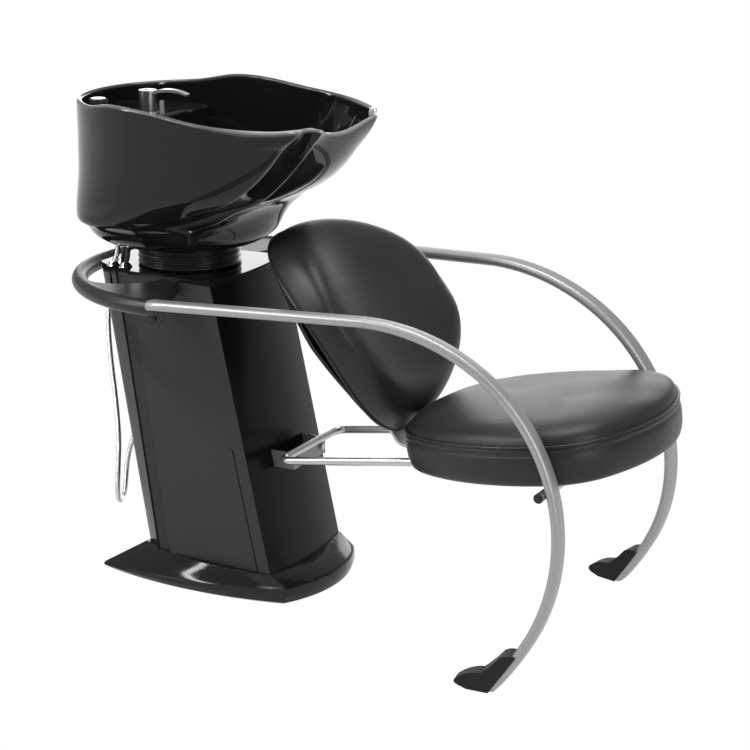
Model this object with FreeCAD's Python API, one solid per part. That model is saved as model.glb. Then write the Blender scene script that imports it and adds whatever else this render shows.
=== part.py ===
import FreeCAD, Part
import math
import os

from FreeCAD import Vector

# Hair washing bed: a leaning pedestal with a tilting basin, and a chair hung
# from it on two curved side tubes. X points to the client's feet, Z up, and the
# origin lies on the floor below the basin's neck. Lengths are in millimetres.

CUT = 40.0                    # how far a cutting tool runs past what it cuts
SLIP = 0.4                    # gap between soft or curved neighbours
FIT = 0.06                    # radial clearance of a pin that turns

# pedestal: a column that leans back, on a flared skirt
SKIRT_H = 60.0
COLUMN_TOP = 632.0
WALL = 4.0
FRONT_X_LOW, FRONT_X_TOP = 261.0, 135.0
FRONT_HALF_W, FRONT_BULGE = 141.0, 14.0
SIDE_X_LOW, SIDE_X_TOP = -15.0, -98.0
SIDE_HALF_W, RECESS_STEP = 127.0, 3.0
RECESS_W, RECESS_DEEP = 33.0, 12.0
REAR_X_LOW, REAR_X_TOP = -62.0, -160.0
REAR_HALF_W, REAR_ROUND = 80.0, 9.0
GROOVE_W, GROOVE_DEEP, GROOVE_IN = 3.0, 2.0, 30.0
GROOVE_TOP = 310.0
CAP_T = 8.0
NECK_HOLE_R = 72.0
SEAM_LIP = 2.0

# skirt and floor plate
SKIRT_REAR_X, SKIRT_REAR_HALF_W = -145.0, 132.0
SKIRT_MID_X, SKIRT_HALF_W = 90.0, 168.0
SKIRT_FRONT_X, SKIRT_FRONT_HALF_W, SKIRT_FRONT_BULGE = 298.0, 144.0, 40.0
SKIRT_REAR_HOLLOW = 10.0
SKIRT_EDGE_H, SKIRT_EDGE_IN, SKIRT_FOOT_IN = 40.0, 5.0, 12.0
SKIRT_REAR_EDGE_H = 15.0
PLATE_T, PLATE_GAP = 6.0, 3.0

# inside the pedestal
POST_W, POST_WALL, POST_X_LOW, POST_X_TOP = 60.0, 3.0, 165.0, 72.0
POST_HEAD_REAR, POST_HEAD_FRONT, POST_HEAD_HALF_W, POST_HEAD_T = -80.0, 110.0, 60.0, 6.0
WASTE_R, WASTE_WALL, WASTE_X_LOW, WASTE_TOP_Z = 20.0, 2.5, 62.0, 590.0
WASTE_HOLE_R = 28.0
SUPPLY_R, SUPPLY_X_LOW, SUPPLY_Y_LOW, SUPPLY_APART, SUPPLY_TOP_Z = 7.5, 20.0, 84.0, 26.0, 600.0

# basin: an egg-shaped bowl with two horns either side of the neck recess.
# Each level gives its height, rear, half width, the x where the side leaves the
# rear curve and where it starts to turn in, then the outer crease (x, y), the
# inner crease (x, y) and the front on the mid-plane, as shares of these sizes:
# heights of BOWL_H, the rear of BOWL_REAR, widths of BOWL_HALF_W, the rest of
# BOWL_FRONT.
BOWL_LOW_Z, BOWL_H = 684.0, 292.0
BOWL_REAR, BOWL_HALF_W, BOWL_FRONT = 214.0, 246.0, 386.0
BOWL_LEVEL_SHARES = (
    (1.116, 1.000, 1.000, 0.155, 0.427, 0.922, 0.610, 1.000, 0.423, 0.969),
    (0.928, 1.000, 0.996, 0.155, 0.415, 0.902, 0.610, 0.969, 0.431, 0.940),
    (0.808, 1.000, 0.992, 0.155, 0.363, 0.829, 0.699, 0.912, 0.476, 0.925),
    (0.671, 1.000, 0.988, 0.142, 0.285, 0.751, 0.715, 0.829, 0.488, 0.886),
    (0.534, 0.995, 0.980, 0.104, 0.181, 0.648, 0.732, 0.736, 0.516, 0.803),
    (0.418, 0.991, 0.963, 0.026, 0.078, 0.518, 0.752, 0.632, 0.528, 0.679),
    (0.346, 0.981, 0.943, -0.052, -0.013, 0.363, 0.797, 0.518, 0.593, 0.565),
    (0.277, 0.963, 0.915, -0.130, -0.104, 0.181, 0.841, 0.435, 0.659, 0.513),
    (0.209, 0.935, 0.870, -0.181, -0.155, 0.000, 0.854, 0.311, 0.732, 0.490),
    (0.175, 0.897, 0.813, -0.155, -0.130, 0.000, 0.797, 0.285, 0.707, 0.479),
    (0.096, 0.850, 0.756, -0.104, -0.078, 0.026, 0.740, 0.259, 0.642, 0.451),
    (0.031, 0.720, 0.634, -0.052, -0.026, 0.039, 0.626, 0.223, 0.528, 0.383),
    (0.000, 0.533, 0.463, -0.013, 0.000, 0.052, 0.459, 0.181, 0.374, 0.295))
FLUTE_IN_SHARE, FLUTE_BOW_SHARE = 0.8, 0.10
# the rim steps up from the tap deck to the wings, then falls to the horns
RIM_WING_RISE, RIM_MID_DROP, RIM_FRONT_DROP, HORN_DROP = 13.0, 5.0, 20.0, 17.0
RIM_REAR_Z = BOWL_LOW_Z + BOWL_H
RIM_WING_Z, RIM_MID_Z = RIM_REAR_Z + RIM_WING_RISE, RIM_REAR_Z - RIM_MID_DROP
RIM_FRONT_Z, HORN_Z = RIM_REAR_Z - RIM_FRONT_DROP, RIM_REAR_Z - HORN_DROP
RIM_STEP_X, RIM_WING_X, RIM_MID_X, RIM_FRONT_X, HORN_X = -95.0, -25.0, 140.0, 309.0, 375.0
BOWL_WALL, BASIN_ROUND, BASIN_ROUND_IN = 12.0, 24.0, 46.0
# how far in and how high each ring of the rounding into the floor lies
BASIN_ROUND_SHARES = ((1.0, 0.0), (0.45, 0.30), (0.18, 0.75))
LIP_DIP, LIP_DIP_HALF_W = 25.0, 124.0
BASIN_FLOOR_SHARE, DECK_SHARE, CAVITY_SHARE = 0.3562, 0.8288, 0.1096
BASIN_FLOOR_Z = BOWL_LOW_Z + BOWL_H * BASIN_FLOOR_SHARE
DECK_Z = BOWL_LOW_Z + BOWL_H * DECK_SHARE
DECK_CAVITY_LOW_Z = BOWL_LOW_Z + BOWL_H * CAVITY_SHARE
DECK_X = -76.0
POD_CAVITY_R = 84.0
DRAIN_X, DRAIN_R, DRAIN_RECESS_R, DRAIN_RECESS = -4.0, 18.0, 32.0, 4.0

# tilt joint under the basin: two ears on the post, two arms under the basin
PIVOT_Z = 664.0
PIN_R, PIN_HEAD_R, PIN_HEAD_T = 6.0, 9.0, 4.0
EAR_Y, EAR_T, EAR_R = 46.0, 7.0, 15.0
BASE_R, BASE_T = 66.0, 5.0
ARM_T, ARM_W, ARM_PLAY, ARM_HEAD_R, ARM_HEAD_T = 6.0, 26.0, 0.6, 62.0, 5.0

# ribbed neck sleeve
SLEEVE_R, SLEEVE_RIB, SLEEVE_WALL = 104.0, 5.0, 3.0
SLEEVE_RIBS = 4
# how far along its pitch and how far out each circle of a rib lies
RIB_SHARES = ((0.0, 0.0), (0.2, 0.0), (0.45, 1.0), (0.75, 1.0))

# side tubes: flat-oval arms that run forward and curl down to the floor
TUBE_W, TUBE_T, TUBE_WALL = 38.0, 18.0, 2.0
TUBE_REAR_X, TUBE_REAR_Y, TUBE_REAR_Z = 106.0, 311.0, 632.0
TOE_IN, SPLAY, ARM_RISE = 4.0, 4.4, 1.7
ARM_RUN = 428.0
SHOULDER_R, SHOULDER_TURN = 415.0, 34.4
FRONT_R, FRONT_TURN = 361.0, 86.0
ANKLE_R, ANKLE_TURN = 620.0, 12.0
TUBE_END_Z = 1.5
TUBE_BENDS = ((SHOULDER_R, SHOULDER_TURN), (FRONT_R, FRONT_TURN), (ANKLE_R, ANKLE_TURN))

# rubber shoes: a toe that points back and a shaft up the tube's inner side
SHOE_W, SHOE_SOLE_L = 40.0, 42.0
SHOE_TOE_L, SHOE_TOE_Z, SHOE_TOE_BACK, SHOE_TOE_TOP = 68.0, 10.0, 8.0, 21.0
SHOE_STEP_L, SHOE_STEP_Z = 16.0, 36.0
SHOE_NECK_L, SHOE_NECK_Z, SHOE_SHAFT_L, SHOE_SHAFT_Z = -20.0, 71.0, -50.0, 74.0
SHOE_ROUND, SHOE_TOE_HALF_W = 4.0, 13.0

# moulded rear yoke that carries both side tubes round the pedestal
YOKE_W, YOKE_T, YOKE_Z = 32.0, 32.0, 622.0
YOKE_REAR_X, YOKE_REAR_R, YOKE_REAR_TURN = -206.0, 290.0, 43.0
YOKE_END_X, YOKE_END_IN = 126.0, 12.0
WEB_T, WEB_TOP_Z = 27.0, 635.0
WEB_REAR_X, WEB_FRONT_X, WEB_ROOT_IN = 22.0, 50.0, 8.0
WEB_MID_X, WEB_MID_Y = -20.0, 205.0
RIB_T, RIB_H, RIB_GAP = 6.0, 14.0, 20.0
SCREW_R, SCREW_HEAD_R, SCREW_HEAD_T, SCREW_X = 4.0, 6.5, 4.0, 113.0

# lower U tube between the pedestal and the seat
U_TUBE_R, U_TUBE_WALL, U_HALF_W, U_CORNER_R = 8.0, 1.5, 116.0, 26.0
U_REAR_X, U_FRONT_IN = 272.0, 160.0
U_CHANNEL_W, U_CHANNEL_H, U_CHANNEL_T = 126.0, 34.0, 4.0
U_BOLT_IN, U_BOLT_R, U_BOLT_HEAD_T = 16.0, 6.5, 5.0

# seat: a round crowned cushion on a board, its front raised
SEAT_REAR_X, SEAT_Z, SEAT_TILT = 529.0, 433.0, 8.3
SEAT_HALF_L, SEAT_HALF_W, SEAT_WIDE_AT = 249.0, 250.0, 56.0
SEAT_X = SEAT_REAR_X + SEAT_HALF_L
SEAT_H, SEAT_CROWN, SEAT_BELLY, SEAT_TUCK, SEAT_ROLL = 74.0, 38.0, 3.0, 8.0, 9.0
SEAT_SIDE_R, SEAT_FRONT_R, SEAT_CORNER_R = 420.0, 380.0, 128.0
# how wide and how high each ring of the crown is
CROWN_SHARES = ((0.985, 0.26), (0.955, 0.46), (0.90, 0.66), (0.80, 0.85), (0.64, 0.97), (0.40, 1.0))
BOARD_T, BOARD_IN, BOARD_UP = 12.0, 22.0, 28.0
BAR_R, BAR_WALL, BAR_Z, BAR_OVER = 9.0, 2.0, 374.0, 5.0
SADDLE_Y, SADDLE_W, SADDLE_T = 150.0, 30.0, 4.0
BAR_BOLT_R, BAR_BOLT_T = 5.0, 3.0

# backrest: a round cushion that wraps forward, on a thin curved shell
SHELL_T = 8.0
BACK_X, BACK_Z, BACK_LEAN = 356.0, 543.0, 37.9
BACK_HALF_L, BACK_HALF_W = 227.0, 226.0
BACK_DEPTH, BACK_WRAP, BACK_REAR, BACK_EDGE = 108.0, 74.0, 12.0, 16.0
STRAP_W, STRAP_T, STRAP_UP, STRAP_BEND_R, STRAP_UNDER = 60.0, 5.0, 150.0, 30.0, 150.0
STRAP_TUCK = 1.6
BACK_STATION_SHARES = (-0.998, -0.965, -0.88, -0.71, -0.42, 0.0, 0.42, 0.71, 0.88, 0.965, 0.998)
BACK_EDGE_SHARE, BACK_FULL_SHARE, BACK_TAPER_SHARE = 0.85, 0.75, 0.05

# mixer tap, hand shower and strainer
TAP_X, TAP_Y = -106.0, 22.0
TAP_R, TAP_FOOT_R, TAP_FOOT_H, TAP_H, TAP_STUD_R = 17.0, 23.0, 5.0, 30.0, 10.0
TAP_NUT_R, TAP_NUT_T = 16.0, 8.0
TAP_CAP_R, TAP_CAP_H, TAP_GAP = 18.0, 15.0, 0.4
LEVER_L, LEVER_W, LEVER_T, LEVER_Z = 96.0, 15.0, 6.0, 8.0
LEVER_PIN_R, LEVER_SLOT, LEVER_DIP = 2.5, 0.5, 2.6
SPRAY_X, SPRAY_Y = -158.0, -76.0
HOLDER_R, HOLDER_FLANGE_R, HOLDER_FLANGE_T, HOLDER_DEPTH, HOLDER_WALL = 15.0, 20.0, 5.0, 22.0, 4.0
GRIP_GAP, GRIP_LOW, SPRAY_NECK, SPRAY_HEAD_R, SPRAY_HEAD_L, SPRAY_FACE_R = 0.3, 40.0, 10.0, 18.0, 26.0, 14.0
STRAINER_RIM_R, STRAINER_T, STRAINER_CUP_R, STRAINER_CUP_H = 26.0, 2.5, 14.0, 14.0
STRAINER_HOLE_R, STRAINER_RING_R = 2.2, 8.5
STRAINER_HOLES = 6
TAIL_R, TAIL_BORE_R, TAIL_FLANGE_R, TAIL_FLANGE_T, TAIL_LOW_Z = 18.0, 14.6, 31.0, 3.0, 735.0

# hoses: where they leave the pedestal's cap and meet the basin's underside
HOSE_R = 5.5
FERRULE_R, FERRULE_H, FERRULE_BELL_R, FERRULE_UNDER = 7.5, 9.0, 14.0, 6.0
GLAND_R, GLAND_LOW_Z, GLAND_TOP_Z = 9.0, BOWL_LOW_Z, DECK_CAVITY_LOW_Z
SHOWER_CAP_X, SHOWER_CAP_Y, SHOWER_BOWL_X, SHOWER_BOWL_Y = -118.0, -99.0, -110.0, -94.0
HOT_CAP_X, HOT_CAP_Y, HOT_BOWL_X, HOT_BOWL_Y = -88.0, -100.0, -84.0, -96.0
COLD_CAP_X, COLD_CAP_Y, COLD_BOWL_X, COLD_BOWL_Y = -118.0, -68.0, -112.0, -66.0
CAP_HOLES = ((SHOWER_CAP_X, SHOWER_CAP_Y), (HOT_CAP_X, HOT_CAP_Y), (COLD_CAP_X, COLD_CAP_Y))
BOWL_HOLES = ((SHOWER_BOWL_X, SHOWER_BOWL_Y), (HOT_BOWL_X, HOT_BOWL_Y), (COLD_BOWL_X, COLD_BOWL_Y))
OUTLET_OUT, OUTLET_SKIN = 8.0, 4.0
OUTLET_HIGH_Y, OUTLET_HIGH_Z, OUTLET_LOW_Y, OUTLET_LOW_Z = -22.0, 584.0, 38.0, 322.0
# the loop that hangs behind the pedestal, from the upper outlet to the lower
LOOP_ROUTE = (
    (-188.0, -26.0, 506.0), (-181.0, -30.0, 420.0), (-168.0, -34.0, 330.0),
    (-161.0, -38.0, 250.0), (-163.0, -43.0, 186.0), (-168.0, -41.0, 140.0), (-180.0, -20.0, 102.0),
    (-194.0, 22.0, 102.0), (-203.0, 43.0, 140.0), (-198.0, 45.0, 186.0), (-176.0, 41.0, 240.0))
LOOP_LEAVE = 34.0
WASTE_BEND = 4.0
HOSE_TIGHT_SHARE = 0.45


def vec(x, y, z):
    return Vector(x, y, z)


def arc(a, b, c):
    return Part.Arc(a, b, c).toShape()


def line(a, b):
    return Part.LineSegment(a, b).toShape()


def box(x0, x1, y0, y1, z0, z1):
    return Part.makeBox(x1 - x0, y1 - y0, z1 - z0, vec(x0, y0, z0))


def rod(r, base, tip):
    way = tip - base
    return Part.makeCylinder(r, way.Length, base, way)


def pipe(r, wall, base, tip):
    return rod(r, base, tip).cut(rod(r - wall, base, tip))


def mirrored(shape):
    return shape.mirror(vec(0, 0, 0), vec(0, 1, 0))


def save(name, shape):
    if len(shape.Solids) == 1:
        shape = shape.Solids[0]
    shape.exportStep("parts/" + name + ".step")
    print("%-24s solids %d valid %s" % (name, len(shape.Solids), shape.isValid()))


def save_pair(name, shape):
    # the shape is the client's left half, at +Y
    save(name + "_left", shape)
    save(name + "_right", mirrored(shape))


def between(low, top, z):
    # a size that changes evenly up the column
    return low + (top - low) * (z - SKIRT_H) / (COLUMN_TOP - SKIRT_H)


def column_wire(z, inset):
    front = between(FRONT_X_LOW, FRONT_X_TOP, z) - inset
    side = between(SIDE_X_LOW, SIDE_X_TOP, z)
    rear = between(REAR_X_LOW, REAR_X_TOP, z) + inset
    front_w, side_w, rear_w = FRONT_HALF_W - inset, SIDE_HALF_W - inset, REAR_HALF_W - inset
    panel, floor_w = side + RECESS_W + inset, side_w - RECESS_DEEP
    half = [vec(front, front_w, z), vec(panel, side_w, z),
            vec(panel - RECESS_STEP, floor_w, z), vec(side - inset, floor_w, z),
            vec(side - RECESS_STEP - inset, floor_w + RECESS_STEP, z),
            vec(rear + REAR_ROUND, rear_w + REAR_ROUND, z), vec(rear, rear_w, z)]
    other = [vec(p.x, -p.y, p.z) for p in half]
    edges = [line(a, b) for a, b in zip(half, half[1:])]
    edges.append(line(half[-1], other[-1]))
    edges += [line(b, a) for a, b in reversed(list(zip(other, other[1:])))]
    edges.append(arc(other[0], vec(front + FRONT_BULGE, 0, z), half[0]))
    return Part.Wire(edges)


def column_solid(z0, z1, inset):
    return Part.makeLoft([column_wire(z0, inset), column_wire(z1, inset)], True, True)


def column_front_x(z):
    return between(FRONT_X_LOW, FRONT_X_TOP, z) + FRONT_BULGE


def column_rear_x(z):
    return between(REAR_X_LOW, REAR_X_TOP, z)


def make_pedestal():
    shell = column_solid(SKIRT_H, COLUMN_TOP, 0)
    shell = shell.cut(column_solid(SKIRT_H - CUT, COLUMN_TOP + CUT, WALL))
    # a seam line runs up the lower side just behind each front corner
    low_x = between(FRONT_X_LOW, FRONT_X_TOP, SKIRT_H) - GROOVE_IN
    top_x = between(FRONT_X_LOW, FRONT_X_TOP, GROOVE_TOP) - GROOVE_IN
    side_run = FRONT_X_LOW - SIDE_X_LOW - RECESS_W
    groove_y = FRONT_HALF_W - (FRONT_HALF_W - SIDE_HALF_W) * GROOVE_IN / side_run
    start = vec(low_x, groove_y - GROOVE_DEEP, SKIRT_H)
    wire = Part.makePolygon([start, start + vec(GROOVE_W, 0, 0),
                             start + vec(GROOVE_W, CUT, 0), start + vec(0, CUT, 0), start])
    groove = Part.Face(wire).extrude(vec(top_x - low_x, 0, GROOVE_TOP - SKIRT_H))
    shell = shell.cut(groove).cut(mirrored(groove))
    for y, z in ((OUTLET_HIGH_Y, OUTLET_HIGH_Z), (OUTLET_LOW_Y, OUTLET_LOW_Z)):
        shell = shell.cut(outlet_rod(HOSE_R + OUTLET_SKIN, y, z, CUT, CUT))
    for x, y in CAP_HOLES:
        shell = shell.cut(rod(FERRULE_R + SLIP, vec(x, y, COLUMN_TOP - CUT), vec(x, y, COLUMN_TOP)))
    save("pedestal_shell", shell)

    cap = column_solid(COLUMN_TOP, COLUMN_TOP + CAP_T, 0)
    cap = cap.cut(Part.makeCylinder(NECK_HOLE_R, CAP_T + CUT, vec(0, 0, COLUMN_TOP - CUT / 2)))
    for x, y in CAP_HOLES:
        cap = cap.cut(rod(FERRULE_R, vec(x, y, COLUMN_TOP - CUT), vec(x, y, COLUMN_TOP + CUT)))
    save("pedestal_cap", cap)


def skirt_wire(z, inset, share):
    # share 0 is the floor outline, share 1 the collar round the column's foot;
    # below the collar each ring runs lower towards the rear
    def mix(a, b):
        return a + (b - a) * share
    front = mix(SKIRT_FRONT_X, FRONT_X_LOW + SEAM_LIP) - inset
    front_w = mix(SKIRT_FRONT_HALF_W, FRONT_HALF_W + SEAM_LIP) - inset
    nose = mix(SKIRT_FRONT_X + SKIRT_FRONT_BULGE, FRONT_X_LOW + FRONT_BULGE + SEAM_LIP) - inset
    side_w = mix(SKIRT_HALF_W, FRONT_HALF_W + SEAM_LIP) - inset
    rear = mix(SKIRT_REAR_X, REAR_X_LOW - SEAM_LIP) + inset
    rear_w = mix(SKIRT_REAR_HALF_W, REAR_HALF_W + SEAM_LIP + REAR_ROUND) - inset
    hollow = rear + mix(SKIRT_REAR_HOLLOW, SEAM_LIP / 2)
    drop = (1 - share) * z * (SKIRT_EDGE_H - SKIRT_REAR_EDGE_H) / SKIRT_EDGE_H

    def at(x, y):
        return vec(x, y, z - drop * (SKIRT_FRONT_X - x) / (SKIRT_FRONT_X - SKIRT_REAR_X))
    a, b, c = at(front, front_w), at(SKIRT_MID_X, side_w), at(rear, rear_w)
    d, e = at(rear, -rear_w), at(front, -front_w)
    return Part.Wire([arc(a, b, c), arc(c, at(hollow, 0), d), arc(d, at(SKIRT_MID_X, -side_w), e),
                      arc(e, at(nose, 0), a)])


def skirt_solid(inset):
    # rounded rim, then a top that slopes up to the collar
    wires = [skirt_wire(0, inset + SKIRT_FOOT_IN, 0),
             skirt_wire(SKIRT_FOOT_IN / 2, inset + SKIRT_FOOT_IN / 3, 0),
             skirt_wire(SKIRT_EDGE_H / 2, inset, 0),
             skirt_wire(SKIRT_EDGE_H - SKIRT_EDGE_IN - inset, inset + SKIRT_EDGE_IN / 3, 0),
             skirt_wire(SKIRT_EDGE_H - inset, inset + SKIRT_EDGE_IN, 0),
             skirt_wire(SKIRT_H - inset, inset, 1)]
    return Part.makeLoft(wires, True, True)


def make_skirt():
    well = Part.Face(skirt_wire(0, SKIRT_FOOT_IN + WALL, 0)).extrude(vec(0, 0, -CUT))
    skirt = skirt_solid(0).cut(skirt_solid(WALL)).cut(well)
    skirt = skirt.cut(column_solid(SKIRT_H - CUT / 2, SKIRT_H + CUT, WALL))
    save("base_skirt", skirt)
    plate = Part.Face(skirt_wire(0, SKIRT_FOOT_IN + WALL + PLATE_GAP, 0)).extrude(vec(0, 0, PLATE_T))
    plate = plate.cut(rod(WASTE_HOLE_R, vec(WASTE_X_LOW, 0, -CUT), vec(WASTE_X_LOW, 0, CUT)))
    save("floor_plate", plate)


def make_post():
    # square steel post, leaning with the column, and its head plate under the cap
    def square(x, half, z):
        return Part.makePolygon([vec(x - half, -half, z), vec(x + half, -half, z),
                                 vec(x + half, half, z), vec(x - half, half, z), vec(x - half, -half, z)])
    top, half = COLUMN_TOP - POST_HEAD_T, POST_W / 2
    outer = Part.makeLoft([square(POST_X_LOW, half, PLATE_T), square(POST_X_TOP, half, top)], True, True)
    inner = half - POST_WALL
    bore = Part.makeLoft([square(POST_X_LOW, inner, PLATE_T), square(POST_X_TOP, inner, top)], True, True)
    head = box(POST_HEAD_REAR, POST_HEAD_FRONT, -POST_HEAD_HALF_W, POST_HEAD_HALF_W, top, COLUMN_TOP)
    head = head.cut(rod(WASTE_HOLE_R, vec(DRAIN_X, 0, top - CUT), vec(DRAIN_X, 0, COLUMN_TOP + CUT)))
    save("pedestal_post", outer.cut(bore).fuse(head).removeSplitter())


def make_pipes():
    # waste and supplies rise inside the column from the floor
    top, low = vec(DRAIN_X, 0, WASTE_TOP_Z), vec(WASTE_X_LOW, 0, 0)
    way = (top - low).normalize()
    waste = pipe(WASTE_R, WASTE_WALL, low - way * CUT, top + way * CUT)
    save("waste_pipe", waste.common(box(-CUT * 4, CUT * 4, -CUT * 2, CUT * 2, PLATE_T / 2, WASTE_TOP_Z)))
    for name, k, (x, y) in (("supply_pipe_hot", 1, CAP_HOLES[1]), ("supply_pipe_cold", 2, CAP_HOLES[2])):
        low = vec(SUPPLY_X_LOW - SUPPLY_APART * k, -SUPPLY_Y_LOW + SUPPLY_APART * (k - 1), PLATE_T)
        tip = vec(x + SUPPLY_APART, y + SUPPLY_APART / 2, SUPPLY_TOP_Z)
        tube = rod(SUPPLY_R, low - (tip - low).normalize() * CUT, tip)
        save(name, tube.cut(box(-CUT * 8, CUT * 8, -CUT * 8, CUT * 8, -CUT * 2, PLATE_T)))


# side tubes, shoes and yoke
def tube_frame():
    # the tube's plane: e1 forward, e2 up, n across it
    toe, splay = math.tan(math.radians(TOE_IN)), math.tan(math.radians(SPLAY))
    n = vec(toe, 1, splay).normalize()
    e1 = vec(1, -toe, 0).normalize()
    return e1, e1.cross(n).normalize(), n


def tube_place(u, v):
    e1, e2, n = tube_frame()
    return vec(TUBE_REAR_X, TUBE_REAR_Y, TUBE_REAR_Z) + e1 * u + e2 * v


def slot_wire(centre, across, up, wide, thick):
    # flat-oval section: two flats and two half circles
    flat, r = (wide - thick) / 2, thick / 2
    a, b = centre + across * flat + up * r, centre - across * flat + up * r
    c, d = centre - across * flat - up * r, centre + across * flat - up * r
    left, right = centre - across * (flat + r), centre + across * (flat + r)
    if flat < SLIP:
        return Part.Wire([arc(a, left, c), arc(c, right, a)])
    return Part.Wire([line(a, b), arc(b, left, c), line(c, d), arc(d, right, a)])


def tube_course():
    # in the tube's plane: where each bend starts, its centre and its heading
    heading = math.radians(ARM_RISE)
    u, v = ARM_RUN * math.cos(heading), ARM_RUN * math.sin(heading)
    course = []
    for r, turn in TUBE_BENDS:
        cu, cv = u + r * math.sin(heading), v - r * math.cos(heading)
        course.append((u, v, cu, cv, heading))
        heading -= math.radians(turn)
        u, v = cu - r * math.sin(heading), cv + r * math.cos(heading)
    return course, u, v, heading


def side_tube(wall):
    # a straight run and three bends in one plane; wall 0 gives the solid bar
    e1, e2, n = tube_frame()
    course, u, v, heading = tube_course()

    def section(at_u, at_v, head):
        up = e2 * math.cos(head) - e1 * math.sin(head)
        outer = slot_wire(tube_place(at_u, at_v), n, up, TUBE_W, TUBE_T)
        if not wall:
            return Part.Face(outer)
        inner = slot_wire(tube_place(at_u, at_v), n, up, TUBE_W - wall * 2, TUBE_T - wall * 2)
        return Part.Face(outer).cut(Part.Face(inner)).Faces[0]
    rise = math.radians(ARM_RISE)
    along = e1 * math.cos(rise) + e2 * math.sin(rise)
    pieces = [section(0, 0, rise).extrude(along * ARM_RUN)]
    for (r, turn), (at_u, at_v, cu, cv, head) in zip(TUBE_BENDS, course):
        pieces.append(section(at_u, at_v, head).revolve(tube_place(cu, cv), n, turn))
    # the foot runs on straight until it is through the floor
    end = tube_place(u, v)
    down = e1 * math.cos(heading) + e2 * math.sin(heading)
    pieces.append(section(u, v, heading).extrude(down * (TUBE_T + max(0, end.z / -down.z))))
    whole = pieces[0].fuse(pieces[1:])
    floor = box(end.x - CUT * 4, end.x + CUT * 4, end.y - CUT * 4, end.y + CUT * 4, -CUT * 4, TUBE_END_Z)
    return whole.cut(floor)


def leg_point(z):
    # where the tube's centre line passes height z on its front curve
    course, u, v, heading = tube_course()
    cu, cv = course[1][2], course[1][3]
    e1, e2, n = tube_frame()
    lean = math.asin(((z - TUBE_REAR_Z) / e2.z - cv) / FRONT_R)
    return tube_place(cu + FRONT_R * math.cos(lean), cv + FRONT_R * math.sin(lean))


def tube_foot():
    # centre of the tube where it meets the floor, and its heading there
    course, u, v, heading = tube_course()
    e1, e2, n = tube_frame()
    along = e1 * math.cos(heading) + e2 * math.sin(heading)
    end = tube_place(u, v)
    return end + along * ((TUBE_END_Z - end.z) / along.z), along, n


def make_shoes(tube):
    foot, along, n = tube_foot()
    back = vec(along.x, along.y, 0).normalize()
    side = vec(-back.y, back.x, 0)

    def at(reach, z):
        return vec(foot.x, foot.y, 0) + back * reach + vec(0, 0, z)
    # outline in the tube's plane, from the toe over the step and up the shaft
    a, b = at(SHOE_TOE_L, SHOE_TOE_Z), at(SHOE_TOE_L - SHOE_TOE_BACK, SHOE_TOE_TOP)
    c, d = at(SHOE_STEP_L, SHOE_STEP_Z), at(SHOE_NECK_L, SHOE_NECK_Z)
    e, f, g = at(SHOE_SHAFT_L, SHOE_SHAFT_Z), at(0, 0), at(SHOE_SOLE_L, 0)
    lift = vec(0, 0, SHOE_ROUND)
    nose = (a + b) / 2 + back * SHOE_ROUND / 2
    knee = (b + c) / 2 + lift
    nape = (c + d) / 2 - lift / 2
    cheek = (d + e) / 2 + lift
    belly = (g + a) / 2 - lift / 4
    face = Part.Face(Part.Wire([arc(a, nose, b), arc(b, knee, c), arc(c, nape, d), arc(d, cheek, e),
                                line(e, f), line(f, g), arc(g, belly, a)]))
    shoe = face.extrude(side * SHOE_W)
    shoe.translate(side * (-SHOE_W / 2))
    # the plan tapers to a rounded toe
    half, tip = side * (SHOE_W / 2), side * SHOE_TOE_HALF_W
    back_end, heel = at(SHOE_SHAFT_L - CUT, -CUT), at(0, -CUT)
    ball, front = at(SHOE_TOE_L - SHOE_TOE_HALF_W, -CUT), at(SHOE_TOE_L + SHOE_ROUND, -CUT)
    plan = Part.Wire([line(back_end - half, heel - half), line(heel - half, ball - tip),
                      arc(ball - tip, front, ball + tip), line(ball + tip, heel + half),
                      line(heel + half, back_end + half), line(back_end + half, back_end - half)])
    shoe = shoe.common(Part.Face(plan).extrude(vec(0, 0, SHOE_SHAFT_Z + CUT * 3))).cut(tube)
    shoe = sorted(shoe.Solids, key=lambda item: item.Volume)[-1]
    save_pair("foot_shoe", shoe)


def yoke_course():
    # rear arc about the mid-plane, then a side arc that ends under the tube
    turn = math.radians(YOKE_REAR_TURN)
    centre = vec(YOKE_REAR_X + YOKE_REAR_R, 0, YOKE_Z)
    join = centre + vec(-math.cos(turn), math.sin(turn), 0) * YOKE_REAR_R
    heading = math.radians(90) - turn
    end_y = TUBE_REAR_Y - YOKE_END_IN
    # side arc: leaves the join on its heading and ends parallel to the mid-plane
    side_r = (end_y - join.y) / (1 - math.cos(heading))
    side_centre = vec(join.x + side_r * math.sin(heading), end_y - side_r, YOKE_Z)
    return centre, join, side_centre, side_r, heading


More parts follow.
